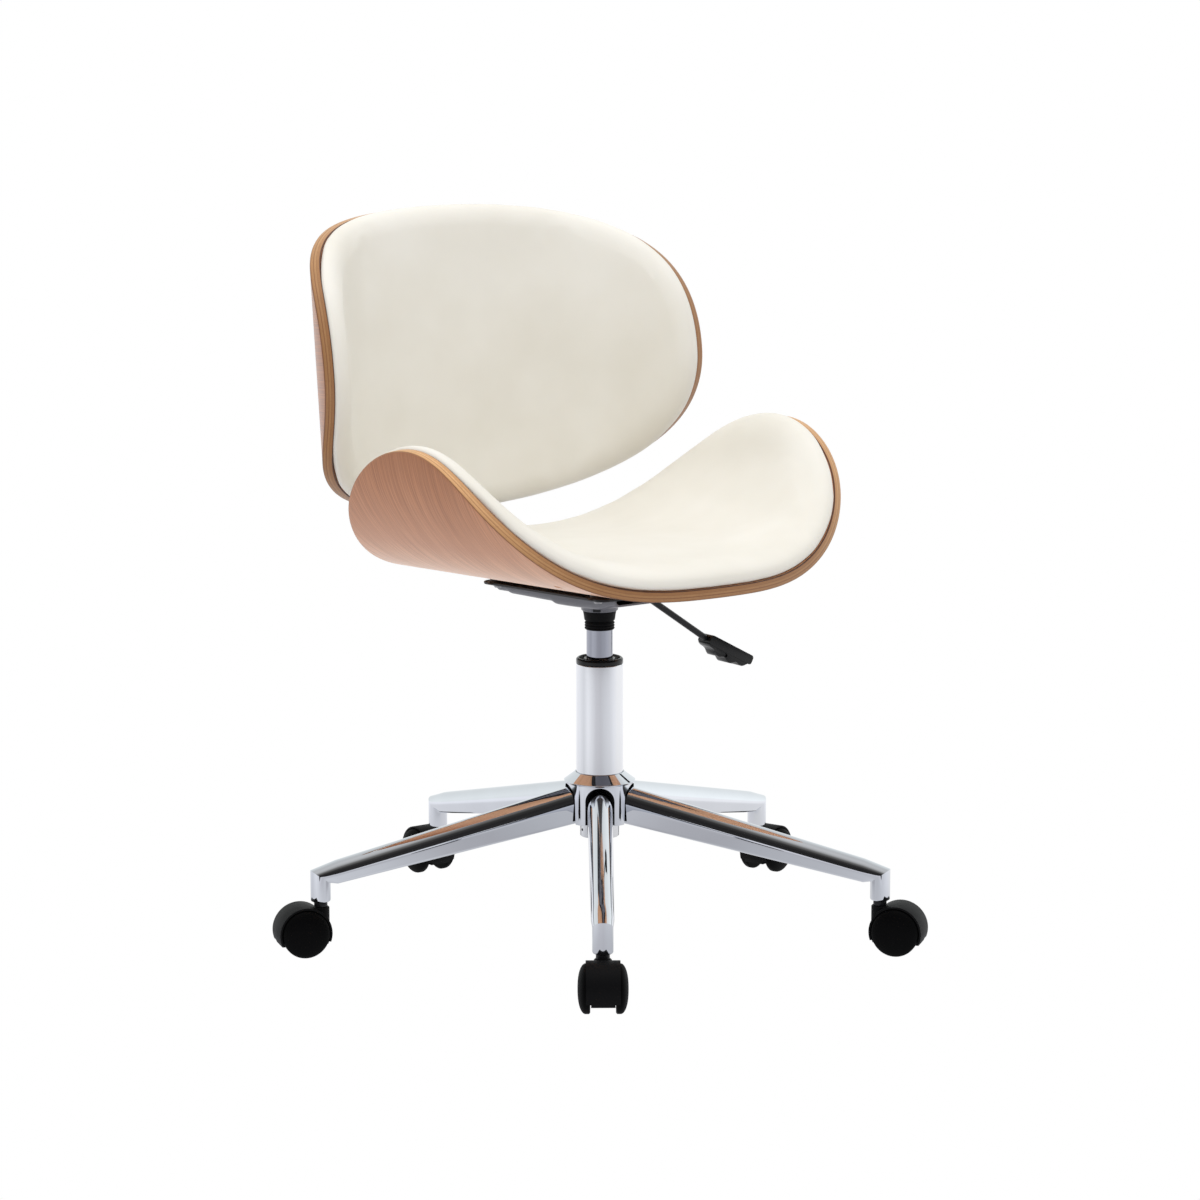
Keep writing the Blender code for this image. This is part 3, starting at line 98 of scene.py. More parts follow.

# Pads
PAD_CELLS = 60                  # cells across the pad's grid
PAD_FOOT = 0.0040
PAD_BULGE = -0.0026             # inset of a pad's widest side, which reaches past its shell
SEAT_PAD = (0.0225, 0.0290, 0.0420)     # heights of the edge and the crown, and how far in the edge rolls
BACK_PAD = (0.0185, 0.0250, 0.0230)
PAD_WAIST_HEIGHT = 0.24         # where a pad's side is widest, as a share of its edge
PAD_ROLL_POWER = 2.20
PAD_CROWN_RISE = 0.0040
PAD_UNDER_STEPS = 4
PAD_ROLL_STEPS = 14
PAD_PRESSURE = 4.0              # the cloth that puffs a pad up
PAD_STIFFNESS = 25.0
PAD_BENDING = 2.0
PAD_FRAMES = 20
PAD_MOST_MOVE = 0.0012

# Fasteners and the back's bracket
BOLT_HEAD_RADIUS = 0.0055
BOLT_CROWN = 0.64               # radius of a head's flat top, as a share of the head's
BOLT_HEAD = 0.0030
BOLT_RADIUS = 0.0030
BOLT_SOCKET_RADIUS = 0.0023
BOLT_SOCKET_DEPTH = 0.0018
NUT_FLANGE_RADIUS = 0.0085
NUT_FLANGE = 0.0012
NUT_SINK = 0.0004
BRACKET_THICKNESS = 0.0060
BRACKET_HALF_WIDTH = 0.0500
BRACKET_BEND = 0.0300
BRACKET_TOP = 0.0050
BRACKET_BOLT_X = 0.0300
BRACKET_SEAT_BOLT_Y = 0.1620
BRACKET_BACK_BOLTS = (-0.1150, -0.0250)
BRACKET_EASE = 0.0012

# Five-arm base
ARM_COUNT = 5
BASE_RADIUS = 0.3076
STUB_RADIUS = 0.0105
STUB_FRONT = 0.0335
STUB_BACK = 0.0190
STUB_EASE = 0.0022
ARM_TIP_HEIGHT = 0.0236
ARM_ROOT_HEIGHT = 0.0400
ARM_ROOT_WIDTH = 0.0270
ARM_TIP_WIDTH = 0.0236
ARM_RISE = 0.0536
ARM_ROOT_CREST = 0.48           # height of an arm's round crest as a share of its height
ARM_TIP_CREST = 0.58
ARM_DRAFT = 0.16                # how much narrower an arm's foot is
ARM_LOWER_CORNER = 0.0035
ARM_TIP_BEFORE = 1.6            # how far before the stem an arm's straight part ends, in stub radii
ARM_SIDES = 72
ARM_STATIONS = 28
HUB_RADIUS = 0.0305
HUB_WALL = 0.0366               # radius of the wall that shows between the arms
HUB_POCKET = 0.0020
HUB_ARCH_RADIUS = 0.0155        # arch of the pocket round each arm's root
HUB_ARCH_BELOW = 0.0014
CAP_RADIUS = 0.0380
CAP_TOP_RADIUS = 0.0265
CAP_HEIGHT = 0.0100
STUB_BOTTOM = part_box("base_arm_1")[0].z
STEM_BORE = 0.0058
SOCKET_DEPTH = 0.0233

# Column and lift
TUBE_RADIUS = 0.0250
TUBE_WALL = 0.0018
TUBE_FOOT_RADIUS = 0.0210
TUBE_FLOOR = 0.0030
FOOT_HOLE = 0.0053
DRILL_HEIGHT = 0.0080           # holes round the tube's foot
DRILL_RADIUS = 0.0016
BUSH_DEPTH = 0.0600
CYLINDER_RADIUS = 0.0140
CYLINDER_NOSE = 0.0133
CYLINDER_WALL = 0.0025
CYLINDER_CEILING = 0.0160
CYLINDER_FLOOR = 0.0120
BUTTON_BORE = 0.0029
BUTTON_POCKET = 0.0115
COLLAR_RADIUS = 0.0158
COLLAR_CONE = 0.0178
ROUND_SIDES = 128
EASE_MOST = 0.45                # most of a side that a rounded corner may take
EASE_FLAT = 150.0               # a corner that is flatter than this stays as it is

# Casters
WHEEL_RADIUS = 0.0250
WHEEL_INNER = 0.0128
WHEEL_DOME = 0.0125
WHEEL_TREAD = 0.0045
WHEEL_EASE = 0.0012
WHEEL_BORE = 0.0038
WHEEL_BORE_DEPTH = 0.0093
WHEEL_POWER = 2.4
WHEEL_STEPS = 24
STEM_RADIUS = 0.0055
STEM_COLLAR = 0.0070
STEM_FOOT = 0.0360
STEM_TOP = 0.0230               # above the stub's lower end
AXLE_RADIUS = 0.0035
AXLE_HALF = 0.0218
CASTER_TRAIL = 0.0200
HOOD_HALF_BODY = 0.0120
HOOD_HALF_FENDER = 0.0172
FENDER_INNER = 0.0260
FENDER_OUTER = 0.0280
HOOD_CLEARANCE = 0.0120
HOOD_SWEEP = 20.0
BOSS_RADIUS = 0.0090
BOSS_RISE = 0.0250

# Studio: colours by height, by how far behind the chair or by how far to the right, each from -1 to 1
# spread over 0 to 1
DOME_STOPS = ((0.00, (0.50, 0.50, 0.52)), (0.50, (0.50, 0.50, 0.52)), (0.75, 0.86), (1.00, (1.0, 1.0, 0.99)))
DOME_STRENGTH = 1.0
BEHIND_STOPS = ((0.00, 0.0), (0.32, 0.005), (0.44, 0.13), (0.56, 0.75), (0.72, 1.0))
FRONT_STOPS = ((0.50, (0.030, 0.029, 0.029)), (0.66, (0.022, 0.021, 0.021)), (0.78, (0.045, 0.043, 0.041)),
               (0.88, (0.20, 0.195, 0.185)), (0.95, (0.56, 0.56, 0.55)), (1.00, (0.72, 0.72, 0.71)))
BACKDROP_STOPS = ((0.50, (1.00, 1.04, 1.03)), (0.80, (0.86, 0.90, 0.89)), (1.00, (0.64, 0.65, 0.64)))
SIDE_STOPS = ((0.00, 1.0), (0.30, 0.90), (0.60, 0.92), (1.00, 1.18))
ROOM_STRENGTH = 1.0
FLOOR_COLOR = (0.82, 0.83, 0.86, 1.0)
# The floor as polished metal sees it glows with painted light: by the turn about the column, from behind over
# the left, the front and the right, and with painted shadow by the distance from the column, darker near it
FLOOR_PAINTED_LIGHT_TURN_STOPS = ((0.00, (1.0, 1.0, 1.02)), (0.19, (0.92, 0.93, 0.96)), (0.27, (0.79, 0.80, 0.83)),
                    (0.335, (0.96, 0.97, 1.0)), (0.39, (0.85, 0.86, 0.89)), (0.45, (0.69, 0.69, 0.72)),
                    (0.51, (0.64, 0.64, 0.67)), (0.56, (0.70, 0.71, 0.74)), (0.635, (0.78, 0.79, 0.82)),
                    (0.70, (0.91, 0.92, 0.95)), (0.77, 1.0), (1.00, (1.0, 1.0, 1.02)))
FLOOR_PAINTED_SHADOW_STOPS = ((0.00, 0.66), (0.10, 0.72), (0.25, 0.95), (0.40, 1.0))
FLOOR_REACH = 3.0
FLOOR_EDGE = 9.0
FLOOR_DROP = 0.0005
FLOOR_STRENGTH = 1.08
TOP_LIGHT = 36.5
TOP_LIGHT_SIZE = 2.0
TOP_LIGHT_COLOR = (0.97, 0.985, 1.06)
TOP_LIGHT_PLACE = Vector((-0.4, -0.5, 3.2))
TOP_LIGHT_AIM = Vector((0, 0, 0.4))
WHITE = (1.0, 1.0, 1.0, 1.0)

# Lift mechanism
TRAY_BOSS_HEIGHT = 0.0095
TRAY_BOSS_RADIUS = 0.0195
TRAY_BOSS_FLARE = 0.0340
TRAY_BOSS_EASE = 0.0008
TRAY_FLARE_POWER = 2.4
TRAY_FLARE_STEPS = 12
TRAY_WALL = 0.0020
TRAY_HALF_WIDTH = 0.0500
TRAY_FRONT = -0.0934
TRAY_REAR = 0.1190
TRAY_DEPTH = 0.0142
TRAY_STATIONS = 60
TRAY_CORNER_STEPS = 6
KEY_TURN = 45.0                 # of the small key on the tray's socket
# Depth of the tray at lengths from the column
TRAY_LINE = ((-0.0934, 0.0070), (-0.0514, 0.0134), (0.0000, 0.0142), (0.0140, 0.0142), (0.0240, 0.0116),
             (0.0960, 0.0108), (0.1020, 0.0092), (0.1190, 0.0092))
PLATE_THICKNESS = 0.0030
PLATE_HALF_WIDTH = 0.0700
PLATE_FRONT = -0.0980
PLATE_REAR = 0.1220
PLATE_CORNER = 0.0120
PLATE_EASE = 0.0006
PLATE_SEAT_FLARE = 1.4
PLATE_SEAT_BELOW = 0.0010       # how far the plate's seats stay below the shell
PLATE_BOLT_X = 0.0600
PLATE_BOLT_FRONT = -0.0780
PLATE_BOLT_REAR = 0.1020

# Lift lever
LEVER_RADIUS = 0.0035
LEVER_SIDES = 32
LEVER_EASE = 0.0010
LEVER_PIVOT_X = 0.0240
LEVER_INNER = 0.0060
LEVER_BELOW_PLATE = 0.0068
LEVER_BEND_X = 0.0484
LEVER_SLOPE = 33.8
LEVER_REACH = 0.1640
PADDLE_START = 0.1420
PADDLE_LENGTH = 0.0650
PADDLE_HALF_WIDTH = 0.0105
PADDLE_SLOPE = 27.7
PADDLE_HALF_HEIGHT = 0.0052
PADDLE_BELLY = 0.0078
PADDLE_WAVE = 0.0016            # finger grips under the paddle
PADDLE_WAVES = 3.4
PADDLE_STEPS = 60

# Heights of the stack, worked out as the plain solids' are
ARM_TIP_MIDDLE = STUB_BOTTOM + STUB_BACK + ARM_TIP_HEIGHT / 2
HUB_BOTTOM = hub_low.z
CAP_TOP = hub_high.z
HUB_TOP = CAP_TOP - CAP_HEIGHT
TUBE_FOOT = column_low.z
TUBE_TOP = column_high.z
BUSH_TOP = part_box("guide_bush")[1].z
COLLAR_BOTTOM, COLLAR_TOP = (corner.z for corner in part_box("socket_collar"))
CYLINDER_BOTTOM, CYLINDER_TOP = (corner.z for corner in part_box("gas_cylinder"))
TRAY_BOTTOM = COLLAR_TOP + GAP + TRAY_BOSS_HEIGHT
PLATE_BOTTOM = TRAY_BOTTOM + TRAY_DEPTH + GAP
PLATE_TOP = PLATE_BOTTOM + PLATE_THICKNESS
SEAT_HEIGHT = PLATE_TOP + GAP + BRACKET_THICKNESS + GAP
LEVER_HEIGHT = PLATE_BOTTOM - LEVER_BELOW_PLATE
SEAT_PLACE = (Matrix.Translation(COLUMN + Vector((0, 0, SEAT_HEIGHT)))
              @ Matrix.Rotation(-math.radians(SEAT_RAKE), 4, "X"))
BACK_PLACE = (Matrix.Translation(COLUMN + Vector((0, BACK_Y, SEAT_HEIGHT + BACK_RISE)))
              @ Matrix.Rotation(-math.radians(BACK_RAKE), 4, "X"))


# Materials

def new_material(name):
    """Return an empty node material and its shader."""
    material = bpy.data.materials.new(name)
    material.use_nodes = True
    return material, material.node_tree, material.node_tree.nodes["Principled BSDF"]


def fill(tree, made, inputs):
    """Set a node's inputs to values or links."""
    for key, value in inputs.items():
        if isinstance(value, bpy.types.NodeSocket):
            tree.links.new(value, made.inputs[key])
        else:
            made.inputs[key].default_value = value


def node(tree, kind, inputs=None, **settings):
    """Add a node, with its settings and its inputs."""
    made = tree.nodes.new(kind)
    for key, value in settings.items():
        setattr(made, key, value)
    fill(tree, made, inputs or {})
    return made


def ramp(tree, factor, stops):
    """Return the colour of a ramp; a stop's colour that is one number is a grey."""
    made = node(tree, "ShaderNodeValToRGB", {0: factor})
    elements = made.color_ramp.elements
    while len(elements) < len(stops):
        elements.new(0.5)
    for element, (place, color) in zip(elements, stops):
        element.position = place
        element.color = (*color, 1.0) if isinstance(color, tuple) else (color, color, color, 1.0)
    return made.outputs["Color"]


def mix(tree, factor, first, second, blend="MIX"):
    """Return two colours mixed."""
    made = node(tree, "ShaderNodeMix", {0: factor, 6: first, 7: second}, data_type="RGBA", blend_type=blend)
    return made.outputs[2]


def stretched(tree, source, scale):
    """Return coordinates stretched along each axis."""
    return node(tree, "ShaderNodeMapping", {"Vector": source, "Scale": scale}).outputs["Vector"]


def noise(tree, vector, scale, detail=4.0, roughness=0.5, distortion=0.0):
    """Return the value of a noise texture."""
    made = node(tree, "ShaderNodeTexNoise", {"Vector": vector, "Scale": scale, "Detail": detail,
                                             "Roughness": roughness, "Distortion": distortion})
    return made.outputs["Fac"]


def tinted(tree, amount, color, factor, stops):
    """Return a colour multiplied by the colour of a ramp."""
    return mix(tree, amount, color, ramp(tree, factor, stops), "MULTIPLY")


def scaled(tree, value, low, high):
    """Return a value from 0 to 1 moved to another range."""
    return node(tree, "ShaderNodeMapRange", {"Value": value, "To Min": low, "To Max": high}).outputs[0]


def spread(tree, value, low=-1.0, high=1.0):
    """Return a value from a range moved to 0 to 1."""
    return node(tree, "ShaderNodeMapRange", {"Value": value, "From Min": low, "From Max": high}).outputs[0]


def sum_of(tree, operation, *values):
    """Return the result of one sum."""
    return node(tree, "ShaderNodeMath", dict(enumerate(values)), operation=operation).outputs[0]


def share_along(tree, vector, direction):
    """Return how far a vector reaches in a direction."""
    made = node(tree, "ShaderNodeVectorMath", {0: vector, 1: direction}, operation="DOT_PRODUCT")
    return made.outputs["Value"]


def bump(tree, shader, height, distance, strength=0.5):
    """Give a shader a bump from a height."""
    made = node(tree, "ShaderNodeBump", {"Height": height, "Distance": distance, "Strength": strength})
    tree.links.new(made.outputs["Normal"], shader.inputs["Normal"])


def object_coordinates(tree):
    """Return the piece's own coordinates."""
    return node(tree, "ShaderNodeTexCoord").outputs["Object"]


def pattern_coordinates(tree):
    """Return the coordinates that follow a bent surface."""
    return node(tree, "ShaderNodeUVMap", uv_map="pattern").outputs["UV"]


def cream_cover():
    """Smooth cover with a fine pebble grain and faint mottling."""
    material, tree, shader = new_material("cream_cover")
    place = object_coordinates(tree)
    mottle = noise(tree, place, 9.0, 3.0)
    color = ramp(tree, mottle, ((0.30, (0.765, 0.730, 0.640)), (0.70, (0.825, 0.795, 0.715))))
    pebble = node(tree, "ShaderNodeTexVoronoi", {"Vector": place, "Scale": 1100.0}, feature="SMOOTH_F1")
    wrinkle = noise(tree, place, 420.0, 5.0, 0.6)
    bump(tree, shader, mix(tree, 0.45, pebble.outputs["Distance"], wrinkle), 0.00012)
    fill(tree, shader, {"Base Color": color, "Roughness": scaled(tree, wrinkle, 0.44, 0.56),
                        "Specular IOR Level": 0.42, "Sheen Weight": 0.08, "Subsurface Weight": 0.04,
                        "Subsurface Radius": (0.004, 0.003, 0.002)})
    return material


def face_veneer():
    """Rosy brown face veneer with fine straight grain round the bend; painted paler and bluer towards the
    middle as a painted reflection of the bright floor, and darker towards the wings as painted shade.
    """
    material, tree, shader = new_material("face_veneer")
    place = pattern_coordinates(tree)
    broad = noise(tree, stretched(tree, place, (2.0, 40.0, 1.0)), 1.0, 3.0, 0.55, 0.4)
    streak = noise(tree, stretched(tree, place, (9.0, 900.0, 1.0)), 1.0, 2.0, 0.50, 0.15)
    fiber = noise(tree, stretched(tree, place, (30.0, 1500.0, 1.0)), 1.0, 3.0, 0.7)
    side = sum_of(tree, "ABSOLUTE", node(tree, "ShaderNodeSeparateXYZ", {0: place}).outputs["X"])
    color = ramp(tree, broad, ((0.30, (0.495, 0.210, 0.096)), (0.55, (0.545, 0.242, 0.118)),
                               (0.75, (0.600, 0.282, 0.145))))
    color = tinted(tree, 0.95, color, streak,
                   ((0.34, (0.82, 0.78, 0.74)), (0.50, 1.0), (0.66, (1.22, 1.25, 1.28))))
    # Painted light and shade: paler and bluer towards the middle where the floor's light and reflection fall,
    # darker towards the wings' ends
    color = tinted(tree, 1.0, color, spread(tree, side, 0.13, 0.33),
                   ((0.0, (1.50, 1.84, 2.08)), (0.4, (1.06, 1.08, 1.10)), (1.0, (0.68, 0.58, 0.43))))
    color = tinted(tree, 0.70, color, fiber, ((0.35, (0.86, 0.84, 0.82)), (0.65, 1.10)))
    fill(tree, shader, {"Base Color": color, "Roughness": scaled(tree, streak, 0.34, 0.48),
                        "Specular IOR Level": 0.20, "Coat Weight": 0.38, "Coat Roughness": 0.20})
    bump(tree, shader, fiber, 0.00006)
    return material


def ply_edge():
    """Sanded edge of the plywood: light and dark plies under a dark top veneer, with painted shade darkening
    the edge near the middle of its lower side and painted light making it paler and bluer further round.
    """
    material, tree, shader = new_material("ply_edge")
    place = pattern_coordinates(tree)
    parts = node(tree, "ShaderNodeSeparateXYZ", {0: place})
    wander = noise(tree, stretched(tree, place, (14.0, 60.0, 1.0)), 1.0, 2.0)
    depth = sum_of(tree, "MULTIPLY", parts.outputs["Y"], 1.0 / PLY)
    depth = sum_of(tree, "ADD", depth, scaled(tree, wander, -0.022, 0.022))
    tan = (0.700, 0.420, 0.190)
    gold = (0.600, 0.330, 0.140)
    amber = (0.470, 0.235, 0.095)
    brown = (0.330, 0.150, 0.062)
    dark = (0.110, 0.042, 0.020)
    plies = ((0.00, brown), (0.040, brown), (0.065, gold), (0.300, tan), (0.330, amber), (0.400, amber),
             (0.430, tan), (0.600, tan), (0.625, amber), (0.670, gold), (0.880, gold), (0.910, brown),
             (0.955, dark), (1.00, dark))
    fiber = noise(tree, stretched(tree, place, (60.0, 2600.0, 1.0)), 1.0, 3.0, 0.6)
    pores = noise(tree, stretched(tree, place, (420.0, 900.0, 1.0)), 1.0, 2.0, 0.5)
    color = tinted(tree, 0.75, ramp(tree, depth, plies), fiber, ((0.3, (0.78, 0.76, 0.74)), (0.7, 1.12)))
    color = tinted(tree, 0.60, color, pores, ((0.30, (0.70, 0.66, 0.62)), (0.45, 1.0)))
    # Painted shade and light along the edge: darker near the middle of the lower side, paler and bluer
    # towards the far ends
    color = tinted(tree, 1.0, color, spread(tree, parts.outputs["X"], 0.14, 0.60),
                   ((0.0, (0.56, 0.47, 0.40)), (0.55, (1.08, 1.05, 1.02)), (1.0, (1.20, 1.26, 1.30))))
    fill(tree, shader, {"Base Color": color, "Roughness": 0.46, "Coat Weight": 0.15, "Coat Roughness": 0.35})
    bump(tree, shader, fiber, 0.00008)
    return material


def plated(name, color, roughness, vary, scale, grain=(1.0, 1.0, 1.0)):
    """Plated or ground metal with faint polish marks."""
    material, tree, shader = new_material(name)
    marks = noise(tree, stretched(tree, object_coordinates(tree), grain), scale, 3.0, 0.6)
    tint = ramp(tree, marks, ((0.3, tuple(c * 0.97 for c in color)), (0.7, color)))
    fill(tree, shader, {"Base Color": tint, "Metallic": 1.0,
                        "Roughness": scaled(tree, marks, roughness - vary, roughness + vary)})
    bump(tree, shader, marks, 0.00001, 0.25)
    return material


def moulded(name, color, roughness, depth=0.00008, scale=1400.0, gloss=0.2):
    """Moulded plastic or painted metal with a fine spark-eroded grain."""
    material, tree, shader = new_material(name)
    place = object_coordinates(tree)
    grain = noise(tree, place, scale, 3.0, 0.6)
    smudge = noise(tree, place, 60.0, 3.0, 0.5)
    tint = ramp(tree, grain, ((0.3, tuple(c * 0.85 for c in color)), (0.7, tuple(c * 1.12 for c in color))))
    fill(tree, shader, {"Base Color": tint, "Specular IOR Level": gloss,
                        "Roughness": scaled(tree, smudge, roughness - 0.05, roughness + 0.05)})
    bump(tree, shader, grain, depth)
    return material


COVER = cream_cover()
VENEER = face_veneer()
EDGE = ply_edge()
CHROME = plated("bright_chrome", (0.755, 0.775, 0.825), 0.030, 0.010, 30.0)
# Painted shade: a near black finish for the inside of the hub's pockets, standing in for the shadow deep in
# each gap
POCKET_PAINTED_SHADE = moulded("unplated_pocket", (0.010, 0.010, 0.011), 0.45, gloss=0.10)
SATIN = plated("satin_chrome", (0.78, 0.79, 0.82), 0.13, 0.02, 400.0, (1.0, 1.0, 0.02))
LIFT_STEEL = plated("ground_steel", (0.36, 0.37, 0.42), 0.09, 0.02, 500.0, (1.0, 1.0, 0.02))
ZINC = plated("zinc_steel", (0.42, 0.42, 0.43), 0.32, 0.06, 200.0)
BLACK_STEEL = moulded("black_steel", (0.012, 0.012, 0.014), 0.36, 0.00004, gloss=0.30)
GREY_PAINT = moulded("grey_paint", (0.150, 0.150, 0.168), 0.34, 0.00006, 900.0, 0.45)
HOOD_PLASTIC = moulded("hood_plastic", (0.0050, 0.0050, 0.0055), 0.50, gloss=0.09)
WHEEL_PLASTIC = moulded("wheel_plastic", (0.0022, 0.0022, 0.0024), 0.55, gloss=0.06)
BUSH_PLASTIC = moulded("bush_plastic", (0.0022, 0.0022, 0.0022), 0.18, 0.00003, gloss=0.30)
LEVER_PLASTIC = moulded("lever_plastic", (0.0045, 0.0045, 0.0048), 0.26, 0.00003, gloss=0.30)


# Meshes

class Skin:
    """Collects rings of points and the bands of faces between them."""

    def __init__(self):
        self.points = []
        self.faces = []
        self.patterns = []
        self.slots = []

    def ring(self, points):
        """Add a ring of points and return their numbers."""
        start = len(self.points)
        self.points += [tuple(point) for point in points]
        return list(range(start, len(self.points)))

    def face(self, corners, patterns, slot):
        """Add one face with its pattern coordinates."""
        self.faces.append(corners)
        self.patterns.append(patterns or [(0.0, 0.0)] * len(corners))
        self.slots.append(slot)

    def band(self, first, second, slot=0, first_pattern=None, second_pattern=None):
        """Join two rings; a ring of one point is a pole."""
        count = max(len(first), len(second))
        for i in range(count):
            j = (i + 1) % count
            corners = []
            patterns = []
            for ring, pattern, order in ((first, first_pattern, (i, j)), (second, second_pattern, (j, i))):
                if len(ring) == 1:
                    corners.append(ring[0])
                    patterns.append(pattern[0] if pattern else (0.0, 0.0))
                    continue
                for k in order:
                    corners.append(ring[k])
                    past = count if pattern and len(pattern) > count and k == 0 and j == 0 else k
                    patterns.append(pattern[past] if pattern else (0.0, 0.0))
            self.face(corners, patterns, slot)

    def piece(self, name, materials, sharp=None):
        """Return an object with this skin."""
        mesh = bpy.data.meshes.new(name)
        mesh.from_pydata(self.points, [], self.faces)
        for material in materials:
            mesh.materials.append(material)
        mesh.polygons.foreach_set("material_index", self.slots)
        layer = mesh.uv_layers.new(name="pattern")
        flat = [value for face in self.patterns for pair in face for value in pair]
        layer.data.foreach_set("uv", flat)
        return finished(name, mesh, sharp)


def finished(name, mesh, sharp=None):
    """Point a mesh's faces outwards, shade it smooth and put it in the scene."""
    work = bmesh.new()
    work.from_mesh(mesh)
    bmesh.ops.recalc_face_normals(work, faces=work.faces)
    work.to_mesh(mesh)
    work.free()
    mesh.shade_smooth()
    if sharp is not None:
        mesh.set_sharp_from_angle(angle=math.radians(sharp))
    item = bpy.data.objects.new(name, mesh)
    bpy.context.scene.collection.objects.link(item)
    return item


def loft(name, rings, material, closed=False, sharp=32.0):
    """Return a piece skinned over rings; an end ring is capped unless it is a pole."""
    skin = Skin()
    made = [skin.ring(ring) for ring in rings]
    for first, second in zip(made, made[1:]):
        skin.band(first, second)
    if closed:
        skin.band(made[-1], made[0])
    else:
        for ring in (made[0], made[-1]):
            if len(ring) > 1:
                skin.face(ring, None, 0)
    return skin.piece(name, [material], sharp=sharp)


def turned(name, profile, material, place=Matrix.Identity(4), sides=ROUND_SIDES):
    """Spin (radius, height) pairs about Z; a radius of 0 is a pole, and a profile with no pole is a ring."""
    turn = [math.tau * i / sides for i in range(sides)]
    rings = []
    for radius, height in profile:
        if radius == 0:
            rings.append([place @ Vector((0, 0, height))])
        else:
            rings.append([place @ Vector((radius * math.cos(a), radius * math.sin(a), height)) for a in turn])
    closed = profile[0][0] > 0 and profile[-1][0] > 0
    return loft(name, rings, material, closed)


def eased(profile, radius, steps=3):
    """Round the corners of a profile that turn sharply."""
    made = []
    count = len(profile)
    for i, corner in enumerate(profile):
        if i in (0, count - 1):
            made.append(corner)
            continue
        here = Vector(corner)
        before = Vector(profile[i - 1]) - here
        after = Vector(profile[i + 1]) - here
        reach = min(radius, before.length * EASE_MOST, after.length * EASE_MOST)
        if reach < 1e-6 or before.angle(after) > math.radians(EASE_FLAT):
            made.append(corner)
            continue
        start = here + before.normalized() * reach
        end = here + after.normalized() * reach
        for k in range(steps + 1):
            share = k / steps
            made.append(tuple(start * (1 - share) ** 2 + here * 2 * share * (1 - share) + end * share ** 2))
    return made


def prism(name, outline, depth, material, axis="Y"):
    """Extrude an outline by half its depth to each side, along an axis."""
    spot = "XYZ".index(axis)
    rings = [[Vector((*pair[:spot], side, *pair[spot:])) for pair in outline]
             for side in (-depth / 2, depth / 2)]
    return loft(name, rings, material)


def bevelled(item, width, angle=32.0):
    """Give a piece a bevel on its sharp edges."""
    modifier = item.modifiers.new("edges", "BEVEL")
    modifier.width = width
    modifier.segments = 3
    modifier.limit_method = "ANGLE"
    modifier.angle_limit = math.radians(angle)


def cut(item, tool, operation="DIFFERENCE"):
    """Cut a tool from a piece, or join it on."""
    modifier = item.modifiers.new(tool.name, "BOOLEAN")
    modifier.operation = operation
    modifier.solver = "EXACT"
    modifier.material_mode = "TRANSFER"
    modifier.object = tool


def evaluated_mesh(item):
    """Return a piece's mesh with its modifiers applied."""
    bpy.context.view_layer.update()
    graph = bpy.context.evaluated_depsgraph_get()
    return bpy.data.meshes.new_from_object(item.evaluated_get(graph), preserve_all_data_layers=True,
                                           depsgraph=graph)


def settled(item, tools=(), sharp=None):
    """Apply a piece's modifiers and remove its tools."""
    mesh = evaluated_mesh(item)
    item.modifiers.clear()
    item.data = mesh
    mesh.name = item.name
    for tool in tools:
        bpy.data.objects.remove(tool, do_unlink=True)
    if sharp is not None:
        mesh.shade_smooth()
        mesh.set_sharp_from_angle(angle=math.radians(sharp))
    return item


def placed(item, place):
    """Move a piece's mesh, so that its object stays at the origin."""
    item.data.transform(place)
    item.data.update()


def hand_over(item, body, nodes=()):
    """Let a piece ride on its body in place of plain solids."""
    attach(item, body)
    if nodes:
        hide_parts(*nodes)


# Geometry Nodes

